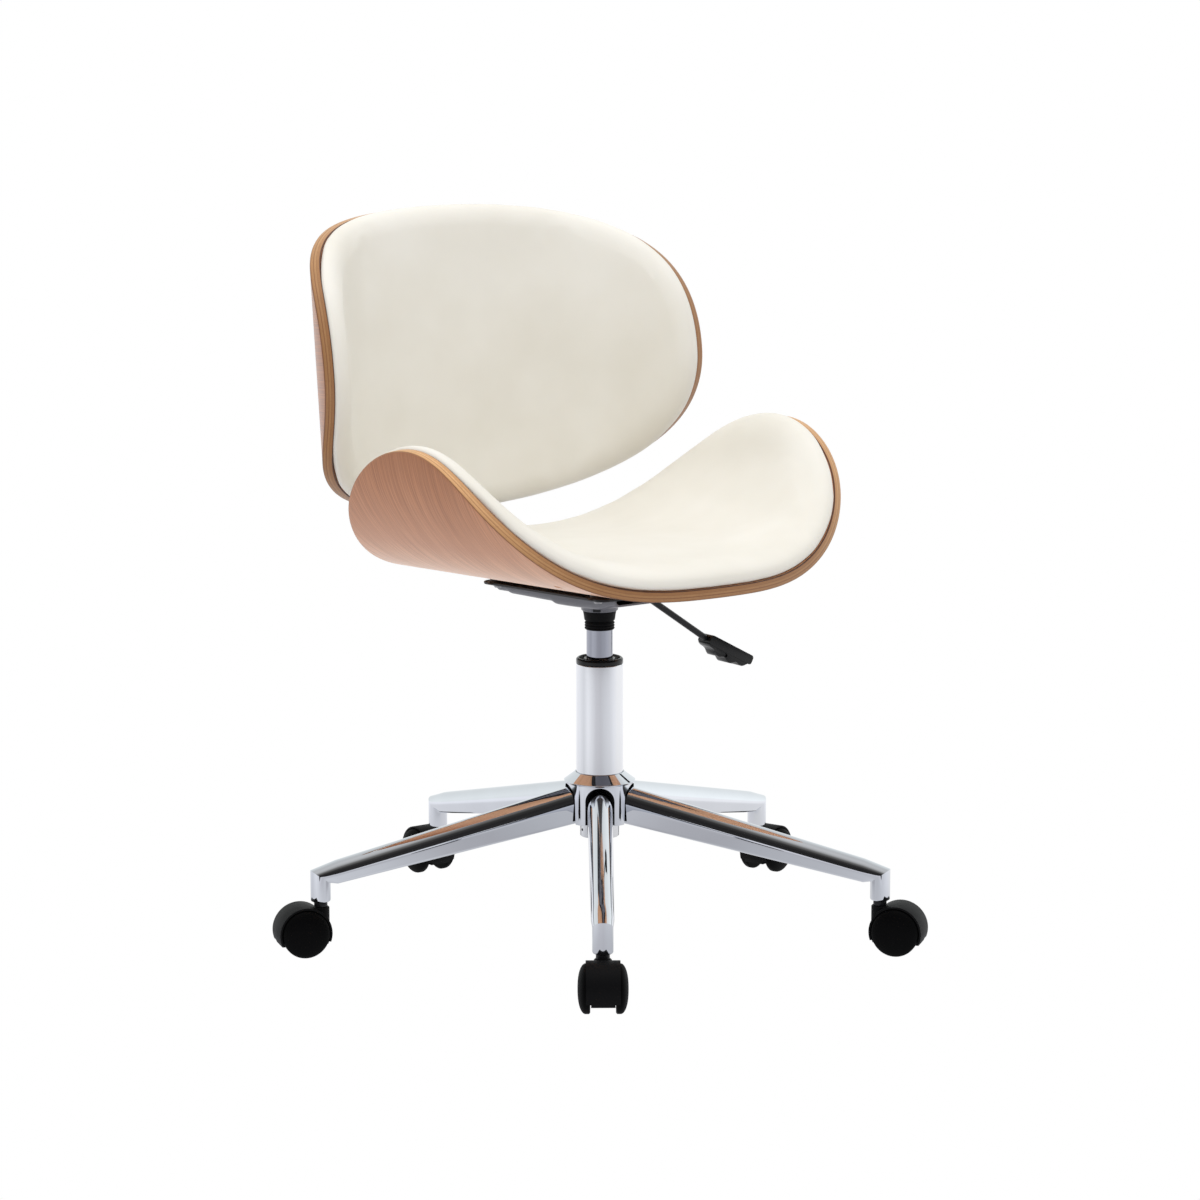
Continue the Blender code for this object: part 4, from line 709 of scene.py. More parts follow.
class Recipe:
    """A Geometry Nodes tree that is built step by step, with named inputs."""

    def __init__(self, name):
        self.tree = bpy.data.node_groups.new(name, "GeometryNodeTree")
        self.tree.is_modifier = True
        self.entry = self.tree.nodes.new("NodeGroupInput")
        self.exit = self.tree.nodes.new("NodeGroupOutput")
        for way in ("INPUT", "OUTPUT"):
            self.tree.interface.new_socket("Geometry", in_out=way, socket_type="NodeSocketGeometry")
        self.base = self.entry.outputs[0]

    def sizes(self, *names, kind="Float"):
        """Add named inputs and return their sockets."""
        for name in names:
            self.tree.interface.new_socket(name, in_out="INPUT", socket_type=f"NodeSocket{kind}")
        return [self.entry.outputs[name] for name in names]

    def step(self, kind, inputs=None, **settings):
        """Add a node and return its first output."""
        return node(self.tree, kind, inputs, **settings).outputs[0]

    def math(self, operation, first, second):
        """Return the result of one sum."""
        return sum_of(self.tree, operation, first, second)

    def up(self, z):
        """Return a point or turn with this Z alone."""
        return self.step("ShaderNodeCombineXYZ", {2: z})

    def circle(self, sides, radius):
        """Return a round curve."""
        return self.step("GeometryNodeCurvePrimitiveCircle", {"Resolution": sides, "Radius": radius},
                         mode="RADIUS")

    def cylinder(self, sides, radius, depth):
        """Return a cylinder about its middle."""
        return self.step("GeometryNodeMeshCylinder", {"Vertices": sides, "Radius": radius, "Depth": depth})

    def raised(self, geometry, z):
        """Return geometry moved up."""
        return self.step("GeometryNodeTransform", {"Geometry": geometry, "Translation": self.up(z)})

    def even_turns(self, count, start=0.0):
        """Return the turn about Z of each copy, in even steps."""
        share = self.math("DIVIDE", math.tau, count)
        angle = self.math("MULTIPLY", self.step("GeometryNodeInputIndex"), share)
        return self.step("FunctionNodeEulerToRotation", {0: self.up(self.math("ADD", angle, start))})

    def copies(self, points, instance, **turn):
        """Return copies of a thing at points."""
        return self.step("GeometryNodeInstanceOnPoints", {"Points": points, "Instance": instance, **turn})

    def end(self, geometry):
        """Realize the copies, give them their material and close the tree."""
        finish, = self.sizes("Finish", kind="Material")
        real = self.step("GeometryNodeRealizeInstances", {"Geometry": geometry})
        done = self.step("GeometryNodeSetMaterial", {"Geometry": real, "Material": finish})
        self.tree.links.new(done, self.exit.inputs[0])
        return self

    def grow(self, name, mesh, sharp=32.0, **values):
        """Run the tree on a mesh and return the result as a plain piece."""
        item = bpy.data.objects.new(name, mesh)
        modifier = item.modifiers.new(name, "NODES")
        modifier.node_group = self.tree
        for socket in self.tree.interface.items_tree:
            key = socket.name.lower().replace(" ", "_")
            if socket.in_out == "INPUT" and key in values:
                modifier[socket.identifier] = values[key]
        bpy.context.scene.collection.objects.link(item)
        plain = evaluated_mesh(item)
        bpy.data.objects.remove(item, do_unlink=True)
        plain.name = name
        return finished(name, plain, sharp)


def bolt_recipe():
    """Button-head bolts with a hexagon socket, one at each point of a mesh."""
    recipe = Recipe("button_bolts")
    head_radius, head_height, socket_radius, socket_depth = recipe.sizes(
        "Head Radius", "Head Height", "Socket Radius", "Socket Depth")
    shank_radius, grip, flange_radius, flange_height = recipe.sizes(
        "Shank Radius", "Grip", "Flange Radius", "Flange Height")
    crown = recipe.math("MULTIPLY", head_radius, BOLT_CROWN)
    head = recipe.step("GeometryNodeMeshCone", {"Vertices": 36, "Radius Top": crown,
                                                "Radius Bottom": head_radius, "Depth": head_height})
    socket = recipe.cylinder(6, socket_radius, recipe.math("MULTIPLY", socket_depth, 2.0))
    socket = recipe.raised(socket, head_height)
    hollow = recipe.step("GeometryNodeMeshBoolean", {"Mesh 1": head, "Mesh 2": socket},
                         operation="DIFFERENCE", solver="EXACT")
    shank = recipe.raised(recipe.cylinder(20, shank_radius, grip), recipe.math("MULTIPLY", grip, -0.5))
    foot = recipe.math("SUBTRACT", recipe.math("MULTIPLY", flange_height, 0.5), grip)
    flange = recipe.raised(recipe.cylinder(28, flange_radius, flange_height), foot)
    joined = node(recipe.tree, "GeometryNodeJoinGeometry")
    for part in (flange, shank, hollow):
        recipe.tree.links.new(part, joined.inputs[0])
    facing = recipe.step("GeometryNodeInputNamedAttribute", {"Name": "facing"}, data_type="FLOAT_VECTOR")
    turn = recipe.step("FunctionNodeAlignRotationToVector", {"Vector": facing}, axis="Z")
    return recipe.end(recipe.copies(recipe.base, joined.outputs[0], Rotation=turn))


def ring_recipe():
    """A stack of round ribs about the column."""
    recipe = Recipe("rib_stack")
    radius, thickness, pitch = recipe.sizes("Rib Radius", "Rib Thickness", "Pitch")
    count, = recipe.sizes("Count", kind="Int")
    section = recipe.circle(12, recipe.math("MULTIPLY", thickness, 0.5))
    rib = recipe.step("GeometryNodeCurveToMesh", {"Curve": recipe.circle(ROUND_SIDES, radius),
                                                  "Profile Curve": section})
    line = recipe.step("GeometryNodeMeshLine", {"Count": count, "Offset": recipe.up(pitch)}, mode="OFFSET")
    return recipe.end(recipe.copies(line, rib))


def star_recipe():
    """Copies of one arm at even turns about the column."""
    recipe = Recipe("star_of_arms")
    count, = recipe.sizes("Count", kind="Int")
    line = recipe.step("GeometryNodeMeshLine", {"Count": count, "Offset": (0.0, 0.0, 0.0)}, mode="OFFSET")
    return recipe.end(recipe.copies(line, recipe.base, Rotation=recipe.even_turns(count)))


def spoke_recipe():
    """Copies of one small web, turned about the column at even steps."""
    recipe = Recipe("ring_of_webs")
    count, = recipe.sizes("Count", kind="Int")
    radius, height = recipe.sizes("Radius", "Height")
    rail = recipe.circle(count, radius)
    line = recipe.step("GeometryNodeCurveToPoints", {"Curve": rail, "Count": count}, mode="COUNT")
    webs = recipe.copies(line, recipe.base, Rotation=recipe.even_turns(count, math.pi / 2))
    return recipe.end(recipe.raised(webs, height))


BOLTS = bolt_recipe()
RIBS = ring_recipe()
STAR = star_recipe()
SPOKES = spoke_recipe()


def facing_points(name, places):
    """Return a mesh of points, each with the direction that its fastener faces."""
    mesh = bpy.data.meshes.new(name)
    mesh.from_pydata([tuple(place.translation) for place in places], [], [])
    facing = mesh.attributes.new("facing", "FLOAT_VECTOR", "POINT")
    for item, place in zip(facing.data, places):
        item.vector = (place.to_3x3() @ Vector((0, 0, 1))).normalized()
    return mesh


def bolts(name, places, grip, nodes):
    """Make a set of bolts at these places, in place of their plain solids."""
    piece = BOLTS.grow(name, facing_points(name, places), head_radius=BOLT_HEAD_RADIUS, head_height=BOLT_HEAD,
                       socket_radius=BOLT_SOCKET_RADIUS, socket_depth=BOLT_SOCKET_DEPTH,
                       shank_radius=BOLT_RADIUS, grip=grip, flange_radius=NUT_FLANGE_RADIUS,
                       flange_height=NUT_FLANGE, finish=ZINC)
    hand_over(piece, "seat", nodes)


# Bent shells

class Panel:
    """A bent shell and its pad, in the flat frame of the seat or of the back."""

    def __init__(self, half, line, handles, bends, upright, place):
        self.half = half
        self.low, self.middle, self.high = line
        self.handles = handles
        self.upright = upright
        self.place = place
        count = int(half / BEND_STEP) + BEND_SPARE
        spots = (np.arange(count) + 0.5) * BEND_STEP
        slope = np.zeros(count)
        for start, end, angle in bends:
            share = np.clip((spots - start) / (end - start), 0, 1)
            slope += math.radians(angle) * (1 - np.cos(np.pi * share)) / 2
        self.spots = np.arange(count + 1) * BEND_STEP
        self.across = np.concatenate([[0], np.cumsum(np.cos(slope) * BEND_STEP)])
        self.rise = np.concatenate([[0], np.cumsum(np.sin(slope) * BEND_STEP)])
        self.slope = np.concatenate([[0], slope])

    def outline(self, steps):
        """Return the closed outline as four curves, the same on both sides."""
        low_out, low_up, high_down, high_out = self.handles
        half, low, middle, high = self.half, self.low, self.middle, self.high
        share = np.linspace(0, 1, steps + 1)[:, None]
        rest = 1 - share

        def curve(*points):
            a, b, c, d = (np.array(point) for point in points)
            return rest ** 3 * a + 3 * rest ** 2 * share * b + 3 * rest * share ** 2 * c + share ** 3 * d
        lower = curve((0, low), (low_out, low), (half, middle - low_up), (half, middle))
        upper = curve((half, middle), (half, middle + high_down), (high_out, high), (0, high))
        side = np.vstack([lower[:-1], upper])
        return np.vstack([side, side[-2:0:-1] * (-1, 1)])

    def bent(self, flat, height):
        """Return points of the bent panel from flat ones and heights off the outer face."""
        along = np.abs(flat[:, 0])
        slope = np.interp(along, self.spots, self.slope)
        x = np.interp(along, self.spots, self.across) - height * np.sin(slope)
        z = np.interp(along, self.spots, self.rise) + height * np.cos(slope)
        x = np.copysign(x, flat[:, 0])
        if self.upright:
            local = np.stack([x, -z, flat[:, 1]], 1)
        else:
            local = np.stack([x, flat[:, 1], z], 1)
        turn = np.array(self.place.to_3x3())
        return local @ turn.T + np.array(self.place.translation)

    def facing(self, along, across):
        """Return a frame whose Z axis points out of the outer face."""
        inner, outer = self.bent(np.array([[along, across]] * 2), np.array([0.01, 0.0]))
        out = Vector(outer - inner)
        return Matrix.Translation(Vector(outer)) @ out.to_track_quat("Z", "Y").to_matrix().to_4x4()

    def both_sides(self, spots):
        """Return frames at each spot and its mirror image."""
        return [self.facing(side * s, v) for s, v in spots for side in (-1, 1)]


def inset(outline, distance):
    """Move an outline inwards by a distance."""
    along = np.roll(outline, -1, 0) - np.roll(outline, 1, 0)
    along /= np.linalg.norm(along, axis=1)[:, None]
    return outline + distance * np.stack([-along[:, 1], along[:, 0]], 1)


SEAT = Panel(SEAT_HALF, SEAT_LINE, SEAT_HANDLES, SEAT_BENDS, False, SEAT_PLACE)
BACK = Panel(BACK_HALF, BACK_LINE, BACK_HANDLES, BACK_BENDS, True, BACK_PLACE)


def shell_piece(name, panel, screw_spots, painted_shade_shift):
    """Plywood shell: two veneered faces and a rounded edge that shows its plies."""
    outline = panel.outline(OUTLINE_STEPS)
    step = np.linalg.norm(np.roll(outline, -1, 0) - outline, axis=1)
    length = np.concatenate([[0], np.cumsum(step)])
    # The edge's pattern length is moved by the painted shade shift, so that the edge's painted shade reaches
    # further round
    length = np.minimum(length, length[-1] - length) - painted_shade_shift
    inner = inset(outline, EDGE_ROUND)
    middle = np.array([0.0, panel.middle])
    skin = Skin()
    edge_rings = []
    for height in (0.0, PLY):
        previous = skin.ring(panel.bent(middle[None, :], np.array([height])))
        previous_pattern = [tuple(middle)]
        for i in range(1, FACE_RINGS + 1):
            flat = middle + (inner - middle) * (i / FACE_RINGS)
            ring = skin.ring(panel.bent(flat, np.full(len(flat), height)))
            pattern = [tuple(pair) for pair in flat]
            skin.band(previous, ring, 0, previous_pattern, pattern)
            previous, previous_pattern = ring, pattern
        edge_rings.append(previous)
    turns = [math.pi / 2 * k / EDGE_STEPS for k in range(1, EDGE_STEPS + 1)]
    rows = [(EDGE_ROUND - EDGE_ROUND * math.sin(turn), EDGE_ROUND - EDGE_ROUND * math.cos(turn))
            for turn in turns]
    levels = rows + [(0.0, PLY / 2)] + [(distance, PLY - height) for distance, height in rows[::-1]]
    previous = edge_rings[0]
    previous_height = 0.0
    for distance, height in levels:
        flat = inset(outline, distance)
        ring = skin.ring(panel.bent(flat, np.full(len(flat), height)))
        skin.band(previous, ring, 1, [(s, previous_height) for s in length], [(s, height) for s in length])
        previous, previous_height = ring, height
    skin.band(previous, edge_rings[1], 1, [(s, previous_height) for s in length], [(s, PLY) for s in length])
    shell = skin.piece(name, [VENEER, EDGE], 50.0)
    screw_seat = [(0, -SCREW_SEAT_DEPTH), (SCREW_HOLE_RADIUS, -SCREW_SEAT_DEPTH),
                  (SCREW_HEAD_RADIUS, -0.0006), (SCREW_HEAD_RADIUS, 0.004), (0, 0.004)]
    tools = []
    for i, place in enumerate(panel.both_sides(screw_spots)):
        tool = turned(f"{name}_screw_seat_{i}", screw_seat, VENEER, place, 32)
        cut(shell, tool)
        tools.append(tool)
    return settled(shell, tools, 50.0)


def pad_screws(name, panel, spots):
    """Countersunk screws that hold a pad, sunk in the shell's outer face."""
    places = [place @ Matrix.Translation((0, 0, -SCREW_SINK)) for place in panel.both_sides(spots)]
    piece = BOLTS.grow(name, facing_points(name, places), head_radius=0.0042, head_height=0.0016,
                       socket_radius=0.0017, socket_depth=0.0012, shank_radius=0.0018, grip=0.0085,
                       flange_radius=0.0019, flange_height=0.0010, finish=BLACK_STEEL)
    hand_over(piece, "seat", ())


def square_to_outline(cells, outline, middle):
    """Map a square grid onto the area inside an outline, without a pole."""
    count = len(outline)
    line = np.linspace(-1, 1, cells + 1)
    a, b = np.meshgrid(line, line, indexing="xy")
    share = np.maximum(np.abs(a), np.abs(b))
    safe = np.where(share < 1e-9, 1.0, share)
    u, v = a / safe, b / safe
    # Distance round the square from the middle of its lower side, from 0 to 8
    way = np.where((v <= -1 + 1e-9) & (u >= 0), u,
                   np.where(u >= 1 - 1e-9, 1 + (v + 1),
                            np.where(v >= 1 - 1e-9, 3 + (1 - u),
                                     np.where(u <= -1 + 1e-9, 5 + (1 - v), 7 + (u + 1)))))
    spot = (way / 8 * count) % count
    low = np.floor(spot).astype(int) % count
    part = (spot - np.floor(spot))[..., None]
    rim = outline[low] * (1 - part) + outline[(low + 1) % count] * part
    # The square's rings turn into the outline's as they near it
    return middle + (rim - middle) * share[..., None], share


def pad_side(edge, crown, roll):
    """Return (distance in, height) pairs from a pad's foot round its bulge to the edge of its top."""
    widest = PAD_WAIST_HEIGHT * edge
    side = []
    for k in range(1, PAD_UNDER_STEPS + 1):
        angle = math.pi / 2 * k / PAD_UNDER_STEPS
        side.append((PAD_BULGE + (PAD_FOOT - PAD_BULGE) * (1 - math.sin(angle)),
                     widest * (1 - math.cos(angle))))
    top = crown - PAD_CROWN_RISE
    for k in range(1, PAD_ROLL_STEPS + 1):
        share = (k / PAD_ROLL_STEPS) ** 1.5
        height = (1 - (1 - share) ** PAD_ROLL_POWER) ** (1 / PAD_ROLL_POWER)
        side.append((PAD_BULGE + (roll - PAD_BULGE) * share, widest + (top - widest) * height))
    return side


def pad_piece(name, panel, edge, crown, roll):
    """Pad: flat foot on the shell, rounded sides and a crowned top, puffed by air pressure."""
    cells = PAD_CELLS
    outline = panel.outline(cells)
    middle = np.array([0.0, panel.middle])
    base = PLY + GAP
    rim = [(i, 0) for i in range(cells // 2, cells)] + [(cells, i) for i in range(cells)]
    rim += [(cells - i, cells) for i in range(cells)] + [(0, cells - i) for i in range(cells)]
    rim += [(i, 0) for i in range(cells // 2)]
    side = pad_side(edge, crown, roll)
    skin = Skin()
    sheets = []
    for distance, level, rise in ((PAD_FOOT, base, 0.0), (side[-1][0], base + side[-1][1], PAD_CROWN_RISE)):
        flat, share = square_to_outline(cells, inset(outline, distance), middle)
        height = level + rise * (1 - share ** 2) ** 2
        points = panel.bent(flat.reshape(-1, 2), height.reshape(-1))
        numbers = np.array(skin.ring(points)).reshape(cells + 1, cells + 1)
        for row in range(cells):
            for column in range(cells):
                corners = [numbers[row, column], numbers[row, column + 1],
                           numbers[row + 1, column + 1], numbers[row + 1, column]]
                skin.face([int(c) for c in corners], None, 0)
        sheets.append([int(numbers[row, column]) for column, row in rim])
    previous = sheets[0]
    for distance, height in side[:-1]:
        grid = square_to_outline(cells, inset(outline, distance), middle)[0]
        flat = np.array([grid[row, column] for column, row in rim])
        ring = skin.ring(panel.bent(flat, np.full(len(flat), base + height)))
        skin.band(previous, ring)
        previous = ring
    skin.band(previous, sheets[1])
    pad = skin.piece(name, [COVER])
    puff(pad, (cells + 1) ** 2)
    rounding = pad.modifiers.new("rounding", "SUBSURF")
    rounding.levels = 1
    rounding.render_levels = 1
    settled(pad)
    pad.data.shade_smooth()
    return pad


def puff(pad, foot_points):
    """Blow a pad up with cloth simulation, its foot held on the shell."""
    scene = bpy.context.scene
    start = np.empty(len(pad.data.vertices) * 3, np.float32)
    pad.data.vertices.foreach_get("co", start)
    start = start.reshape(-1, 3)
    held = pad.vertex_groups.new(name="held")
    held.add(list(range(foot_points)), 1.0, "REPLACE")
    cloth = pad.modifiers.new("cloth", "CLOTH")
    settings = cloth.settings
    settings.use_pressure = True
    settings.uniform_pressure_force = PAD_PRESSURE
    settings.vertex_group_mass = "held"
    settings.effector_weights.gravity = 0.0
    settings.tension_stiffness = PAD_STIFFNESS
    settings.compression_stiffness = PAD_STIFFNESS
    settings.bending_stiffness = PAD_BENDING
    settings.quality = 6
    cloth.point_cache.frame_start = 1
    cloth.point_cache.frame_end = PAD_FRAMES
    for number in range(1, PAD_FRAMES + 1):
        scene.frame_set(number)
    graph = bpy.context.evaluated_depsgraph_get()
    end = np.empty(len(start) * 3, np.float32)
    pad.evaluated_get(graph).data.vertices.foreach_get("co", end)
    pad.modifiers.remove(cloth)
    scene.frame_set(1)
    move = end.reshape(-1, 3) - start
    far = np.linalg.norm(move, axis=1)[:, None]
    move *= np.minimum(1.0, PAD_MOST_MOVE / np.maximum(far, 1e-9))
    move[:foot_points] = 0.0
    pad.data.vertices.foreach_set("co", (start + move).astype(np.float32).ravel())
    pad.vertex_groups.clear()
    pad.data.update()


def build_panels():
    """Shells, pads and the screws between them."""
    for label, panel, sizes, spots, painted_shade_shift in (("seat", SEAT, SEAT_PAD, SEAT_SCREWS, SEAT_EDGE_PAINTED_SHADE),
                                              ("back", BACK, BACK_PAD, BACK_SCREWS, BACK_EDGE_PAINTED_SHADE)):
        shell = shell_piece(f"{label}_plywood", panel, spots, painted_shade_shift)
        hand_over(shell, "seat", [f"{label}_shell"])
        pad = pad_piece(f"{label}_pad", panel, *sizes)
        hand_over(pad, "seat", [f"{label}_cushion"])
        pad_screws(f"{label}_pad_screws", panel, spots)


# Bracket, plate and their bolts

def fillet(before, corner, after, radius, steps):
    """Return the points of an arc that rounds a corner."""
    one = (before - corner).normalized()
    two = (after - corner).normalized()
    half = one.angle(two) / 2
    reach = radius / math.tan(half)
    middle = corner + (one + two).normalized() * radius / math.sin(half)
    start = corner + one * reach - middle
    end = corner + two * reach - middle
    return [middle + start.slerp(end, i / steps).normalized() * radius for i in range(steps + 1)]


def rounded_rectangle(low_x, high_x, low_y, high_y, radius, steps=5):
    """Return the outline of a rectangle with round corners."""
    corners = ((high_x, high_y, 0), (low_x, high_y, 90), (low_x, low_y, 180), (high_x, low_y, 270))
    outline = []
    for x, y, start in corners:
        middle_x = x - math.copysign(radius, x - (low_x + high_x) / 2)
        middle_y = y - math.copysign(radius, y - (low_y + high_y) / 2)
        for i in range(steps + 1):
            angle = math.radians(start + 90 * i / steps)
            outline.append((middle_x + radius * math.cos(angle), middle_y + radius * math.sin(angle)))
    return outline


def along_path(path):
    """Return each point of a path with the one before it and the one after it."""
    return [(path[max(i - 1, 0)], point, path[min(i + 1, len(path) - 1)]) for i, point in enumerate(path)]


def build_bracket():
    """Flat bar bent up behind the seat, which carries the back."""
    offset = GAP + BRACKET_THICKNESS / 2
    start = SEAT_PLACE @ Vector((0, PLATE_FRONT, -offset))
    along = SEAT_PLACE.to_3x3() @ Vector((0, 1, 0))
    top = BACK_PLACE @ Vector((0, offset, BRACKET_TOP))
    down = BACK_PLACE.to_3x3() @ Vector((0, 0, -1))
    reach = ((top - start).y * down.z - (top - start).z * down.y) / (along.y * down.z - along.z * down.y)
    path = [start] + fillet(start, start + along * reach, top, BRACKET_BEND, 20) + [top]
    half = BRACKET_THICKNESS / 2
    section = rounded_rectangle(-BRACKET_HALF_WIDTH, BRACKET_HALF_WIDTH, -half, half, BRACKET_EASE, 3)
    rings = []
    for i, (before, point, after) in enumerate(along_path(path)):
        way = (after - before).normalized()
        up = Vector((0, -way.z, way.y))
        stretch = 1 / math.cos((point - before).angle(after - point) / 2) if 0 < i < len(path) - 1 else 1
        rings.append([point + Vector((x, 0, 0)) + up * h * stretch for x, h in section])
    bar = loft("bracket_bar", rings, BLACK_STEEL, sharp=40.0)
    hand_over(bar, "seat", ["back_bracket"])


def build_bolts():
    """Three sets of bolts through the plate and the bracket into the shells."""
    downward = Matrix.Rotation(math.pi, 4, "X")
    backward = Matrix.Rotation(-math.pi / 2, 4, "X")
    bar_out = GAP + BRACKET_THICKNESS + GAP
    plate_low = PLATE_BOTTOM - SEAT_HEIGHT
    spots = [(side * PLATE_BOLT_X, y) for y in (PLATE_BOLT_FRONT, PLATE_BOLT_REAR) for side in (-1, 1)]
    places = [SEAT_PLACE @ Matrix.Translation((x, y, plate_low - GAP)) @ downward for x, y in spots]
    rise = float(np.interp(PLATE_BOLT_X, SEAT.spots, SEAT.rise))
    grip = rise + PLY - NUT_SINK - plate_low + GAP
    bolts("plate_bolts", places, grip, [f"plate_bolt_{i}" for i in range(1, 5)])
    grip = bar_out + PLY - NUT_SINK
    spots_on_bar = [(side * BRACKET_BOLT_X, BRACKET_SEAT_BOLT_Y, -bar_out) for side in (-1, 1)]
    places = [SEAT_PLACE @ Matrix.Translation(spot) @ downward for spot in spots_on_bar]
    bolts("seat_bolts", places, grip, ["seat_bolt_1", "seat_bolt_2"])
    places = [BACK_PLACE @ Matrix.Translation((side * BRACKET_BOLT_X, bar_out, v)) @ backward
              for v in BRACKET_BACK_BOLTS for side in (-1, 1)]
    bolts("back_bolts", places, grip, [f"back_bolt_{i}" for i in range(1, 5)])
    return rise, spots


def build_plate(rise, spots):
    """Black plate under the seat, with a seat pressed up at each bolt."""
    low = PLATE_BOTTOM - SEAT_HEIGHT
    outline = rounded_rectangle(-PLATE_HALF_WIDTH, PLATE_HALF_WIDTH, PLATE_FRONT, PLATE_REAR,
                                PLATE_CORNER, 10)
    rings = []
    for inward, height in ((PLATE_EASE, 0), (0, PLATE_EASE), (0, PLATE_THICKNESS - PLATE_EASE),
                           (PLATE_EASE, PLATE_THICKNESS)):
        flat = [(x - math.copysign(inward, x), y - math.copysign(inward, y)) for x, y in outline]
        rings.append([SEAT_PLACE @ Vector((x, y, low + height)) for x, y in flat])
    plate = loft("plate_sheet", rings, BLACK_STEEL, sharp=50.0)
    top = rise - GAP - PLATE_SEAT_BELOW
    middle = low + PLATE_THICKNESS / 2
    profile = eased([(0, middle), (NUT_FLANGE_RADIUS * PLATE_SEAT_FLARE, middle),
                     (NUT_FLANGE_RADIUS, low + PLATE_THICKNESS * 1.5), (NUT_FLANGE_RADIUS, top), (0, top)],
                    PLATE_EASE)
    seats = []
    for i, (x, y) in enumerate(spots):
        place = SEAT_PLACE @ Matrix.Translation((x, y, 0))
        seats.append(turned(f"plate_seat_{i}", profile, BLACK_STEEL, place, 40))
        cut(plate, seats[-1], "UNION")
    settled(plate, seats, 40.0)
    hand_over(plate, "seat", ["mechanism_plate"])


# Pressed tray with its socket

def smooth_step(share):
    """Return a share eased at both ends."""
    share = min(max(share, 0.0), 1.0)
    return share * share * (3 - 2 * share)


def tray_depth(y):
    """Return how deep the pressed tray is at a length from the column."""
    for (near, shallow), (far, deep) in zip(TRAY_LINE, TRAY_LINE[1:]):
        if y <= far:
            return shallow + (deep - shallow) * smooth_step((y - near) / (far - near))
    return TRAY_LINE[-1][1]


def tray_ring(y, half_width, top, bottom, radius):
    """Return a channel section with round lower corners."""
    pairs = [(half_width, top)]
    for side, start in ((1, 0), (-1, -90)):
        for i in range(TRAY_CORNER_STEPS + 1):
            angle = math.radians(start - 90 * i / TRAY_CORNER_STEPS)
            pairs.append((side * (half_width - radius) + radius * math.cos(angle),
                          bottom + radius + radius * math.sin(angle)))
    pairs.append((-half_width, top))
    return [SEAT_PLACE @ Vector((x, y, z)) for x, z in pairs]


def build_tray():
    """Grey tray: open front end, lower edge in steps, flared socket and lever notch."""
    top = PLATE_BOTTOM - GAP - SEAT_HEIGHT
    reach = TRAY_REAR - TRAY_FRONT
    stations = [TRAY_FRONT + reach * i / TRAY_STATIONS for i in range(TRAY_STATIONS + 1)]
    corner = 3 * TRAY_WALL
    outer = [tray_ring(y, TRAY_HALF_WIDTH, top, top - tray_depth(y), corner) for y in stations]
    tray = loft("tray_channel", outer, GREY_PAINT)
    inside = [y for y in stations if y < TRAY_REAR - TRAY_WALL]
    inside[0] -= TRAY_WALL
    inner = [tray_ring(y, TRAY_HALF_WIDTH - TRAY_WALL, top + TRAY_WALL, top - tray_depth(y) + TRAY_WALL,
                       corner - TRAY_WALL) for y in inside]
    hollow = loft("tray_hollow", inner, GREY_PAINT)
    cut(tray, hollow)
    upright = Matrix.Translation(COLUMN)
    low = COLLAR_TOP + GAP
    high = SEAT_HEIGHT + top - TRAY_DEPTH + TRAY_WALL / 2
    profile = [(0, low), (TRAY_BOSS_RADIUS - TRAY_BOSS_EASE, low), (TRAY_BOSS_RADIUS, low + TRAY_BOSS_EASE)]
    for i in range(1, TRAY_FLARE_STEPS + 1):
        share = i / TRAY_FLARE_STEPS
        profile.append((TRAY_BOSS_RADIUS + (TRAY_BOSS_FLARE - TRAY_BOSS_RADIUS) * share ** TRAY_FLARE_POWER,
                        low + TRAY_BOSS_EASE + (high - low - TRAY_BOSS_EASE) * share))
    profile.append((0, high))
    boss = turned("tray_boss", profile, GREY_PAINT, upright)
    cut(tray, boss, "UNION")
    bore = turned("tray_bore", [(0, low - 0.002), (CYLINDER_RADIUS + GAP, low - 0.002),
                                (CYLINDER_NOSE + 2 * GAP, PLATE_TOP), (0, PLATE_TOP)], GREY_PAINT, upright)
    cut(tray, bore)
    half = LEVER_RADIUS + TRAY_WALL
    outline = rounded_rectangle(-half, half, PLATE_BOTTOM - TRAY_DEPTH - 0.001, PLATE_TOP, 0.0015)
    notch = prism("lever_notch", outline, 0.012, GREY_PAINT, "X")
    placed(notch, Matrix.Translation(COLUMN + Vector((TRAY_HALF_WIDTH - 0.002, 0, 0))))
    cut(tray, notch)
    settled(tray, [hollow, boss, bore, notch], 34.0)
    key = prism("socket_key", rounded_rectangle(-0.004, 0.004, 0, 0.0062, 0.0008), 0.0032, BLACK_STEEL)
    bevelled(key, 0.0004)
    settled(key)
    on_boss = Matrix.Translation((0, -TRAY_BOSS_RADIUS - 0.0006, low + 0.0010))
    placed(key, upright @ (Matrix.Rotation(-math.radians(KEY_TURN), 4, "Z") @ on_boss))
    hand_over(tray, "seat", ["mechanism_housing"])
    hand_over(key, "seat", ())


# Column and gas lift

